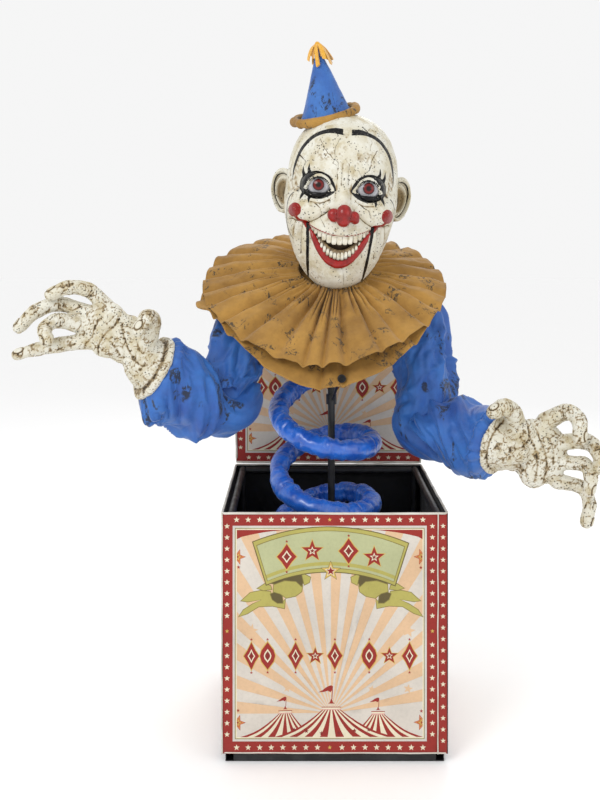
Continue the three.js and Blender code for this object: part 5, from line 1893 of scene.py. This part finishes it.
def hand(side):
    arm, shape = ARMS[side], HANDS[side]
    s, elbow, wrist = arm["s"], np.array(arm["elbow"], float), np.array(arm["wrist"], float)
    out = unit(wrist - elbow)

    def place(p):
        p = np.asarray(p, float)
        return xyz(wrist[0] + s * p[..., 0], wrist[1] - p[..., 1], wrist[2] + p[..., 2])

    balls = [(place(p[:3]), np.array([p[3] * 1.1, p[4] * 1.05, p[5] * 1.05])) for p in shape["palm"]]
    lines, nails = [], []
    for chain in shape["fingers"].values():
        c = np.array(chain, float)
        dense = smooth_path(c, 34)
        joints = np.linspace(0, 1, 34) * 3
        knuckle = 1.6 * sum(bump_at(joints, k, 0.22) for k in (1, 2)) + 1.4 * bump_at(joints, 2.85, 0.2)
        radius = dense[:, 3] * 0.95 + knuckle - 0.7
        path = place(dense[:, :3])
        balls += [(q, np.full(3, r)) for q, r in zip(path, radius)]
        lines.append((path, radius))
        palm = place(shape["palm"][1][:3])
        root = path[0]
        balls += [(palm + (root - palm) * t, np.full(3, 22 + (c[0, 3] * 0.95 - 22) * t))
                  for t in np.linspace(0, 1, 8)]
        along = unit(path[-1] - path[-9])
        away = path[-1] - path[:20].mean(axis=0)
        away = unit(away - along * np.dot(away, along))
        nails.append((path[-2] + away * radius[-2] * 0.6, along, away))
    # the wrist widens into a cuff with a rolled rim
    across = unit(np.cross(out, (0, 0, 1)))
    upright = np.cross(across, out)
    for t in np.linspace(0, 1, 7):
        centre = wrist + out * (34 - 40 * t)
        r = 40 + 21 * t
        for a in np.linspace(0, 2 * math.pi, 22, endpoint=False):
            q = centre + (r - 11) * (math.cos(a) * across + math.sin(a) * upright)
            balls.append((q, np.full(3, 11.0)))
        balls.append((centre + out * 4, np.full(3, r - 12)))
    for a in np.linspace(0, 2 * math.pi, 44, endpoint=False):
        q = wrist - out * 7 + (61.5 + 1.2 * math.sin(3 * a)) * (math.cos(a) * across + math.sin(a) * upright)
        balls.append((q, np.full(3, shape["rim"] + 0.5 * math.sin(7 * a))))
    obj = blob(f"hand_{side}_casting", balls, M["hand"], 0.0021, 4, lambda p: np.asarray(p) * MM)
    p, n = points_of(obj) / MM, normals_of(obj)
    # skin: fine folds across each finger, deeper ones at its joints
    nearest = np.full(len(p), 1e9)
    offset = np.zeros(len(p))
    for path, radius in lines:
        d = np.linalg.norm(p[:, None] - path[None], axis=2) - radius[None]
        k = np.argmin(d, axis=1)
        length = length_along(path)
        here = length[k] + np.sum((p - path[k]) * tangents(path)[k], axis=1)
        gap = d[np.arange(len(p)), k]
        better = gap < nearest
        joints = length[[11, 22]]
        fold = sum(bump_at(here, joint + shift, 1.5) * depth for joint in joints
                   for shift, depth in ((-5.5, 0.6), (0, 1.0), (5, 0.7)))
        offset = np.where(better, fold, offset)
        nearest = np.minimum(nearest, gap)
    on_finger = smoothstep(9, 2, nearest)
    wander = fbm(p, 18, 2, 201) * 2.2
    small = 1 - np.abs(value_noise(p / 9 + wander[:, None] * 0.25, 203)) * 2.4
    tiny = 1 - np.abs(value_noise(p / 4.2, 205)) * 2.2
    wrinkle = 1.1 * np.clip(small, 0, 1) ** 3 + 0.7 * np.clip(tiny, 0, 1) ** 3
    offset = offset * smoothstep(-0.35, 0.25, fbm(p, 11, 2, 207)) * on_finger
    depth = wrinkle + 2.0 * offset
    hand_out, hand_up = s * (p[:, 0] - wrist[0]), p[:, 2] - wrist[2]
    facing = smoothstep(0.1, 0.5, -n[:, 1])
    deep = np.zeros(len(p))
    for k, points in enumerate(shape["creases"]):
        line = [(a, b, 0.0) for a, b in smooth_path(points, 14)]
        deep = np.maximum(deep, bump_at(line_field(hand_out, hand_up, line), 0, 2.4) * (1 if k < 3 else 0.7))
    deep *= facing * smoothstep(-2, 8, nearest + 6)
    depth = depth + 3.2 * deep
    behind_rim = -np.sum((p - wrist) * out, axis=1)
    rim_zone = smoothstep(-6, 0, behind_rim)
    groove = bump_at(behind_rim, -1.5 - shape["rim"] * 0.2, 2.2) * (np.linalg.norm(p - wrist, axis=1) < 80)
    depth = depth * (1 - 0.8 * rim_zone) + 2.4 * groove
    lump = 1.2 * fbm(p, 30, 2, 209)
    wash = np.clip(0.95 * wrinkle + 0.75 * offset + 0.75 * deep + 0.9 * groove - 0.3, 0, 1.3)
    # nails: a smooth plate in a raised dark edge
    for at, along, away in nails:
        d = p - at
        b_way = np.cross(along, away)
        a, b, c = (d @ w for w in (along, b_way, away))
        e = np.hypot((a + 1) / 11.0, b / 7.5)
        on_top = (c > -1) & (c < 14) & (e < 1.6)
        edge = np.exp(-(((e - 1) / 0.13) ** 2)) * on_top
        plate = smoothstep(1.0, 0.85, e) * on_top
        depth = depth * (1 - plate) * (1 - edge) + 1.7 * edge - 0.9 * plate
        wash = np.maximum(wash * (1 - plate), 1.25 * edge)
    p = p - n * (depth - lump)[:, None]
    obj.data.vertices.foreach_set("co", (p * MM).ravel())
    obj.data.update()
    store(obj, "wash", wash)
    finish_piece(obj, f"forearm_{side}", [f"hand_{side}"])


for side in ARMS:
    hand(side)

# ---- Frame and machinery keep their CAD shapes ----
CAD_MATERIALS = {"frame_black": M["frame"], "black_plastic": M["plastic"], "switch_ivory": M["rim"]}
for node, obj in frame["nodes"].items():
    slot_name = next(s["material_slot"] for s in frame["record"]["subparts"] if s["node"] == node)
    material = CAD_MATERIALS.get(slot_name)
    if material:
        obj.data.materials.clear()
        obj.data.materials.append(material)
        bevel = obj.modifiers.new("bevel", "BEVEL")
        bevel.width = 0.0006
        bevel.limit_method = "ANGLE"
        bevel.angle_limit = math.radians(50)

floor_mesh = bpy.data.meshes.new("floor")
floor_mesh.from_pydata([(-30, -30, 0), (30, -30, 0), (30, 30, 0), (-30, 30, 0)], [], [(0, 1, 2, 3)])
floor_shader = Shader("floor_paper", Roughness=0.9, Base_Color=(1.0, 1.0, 1.0, 1.0))
to_object("floor", floor_mesh, [floor_shader.material])
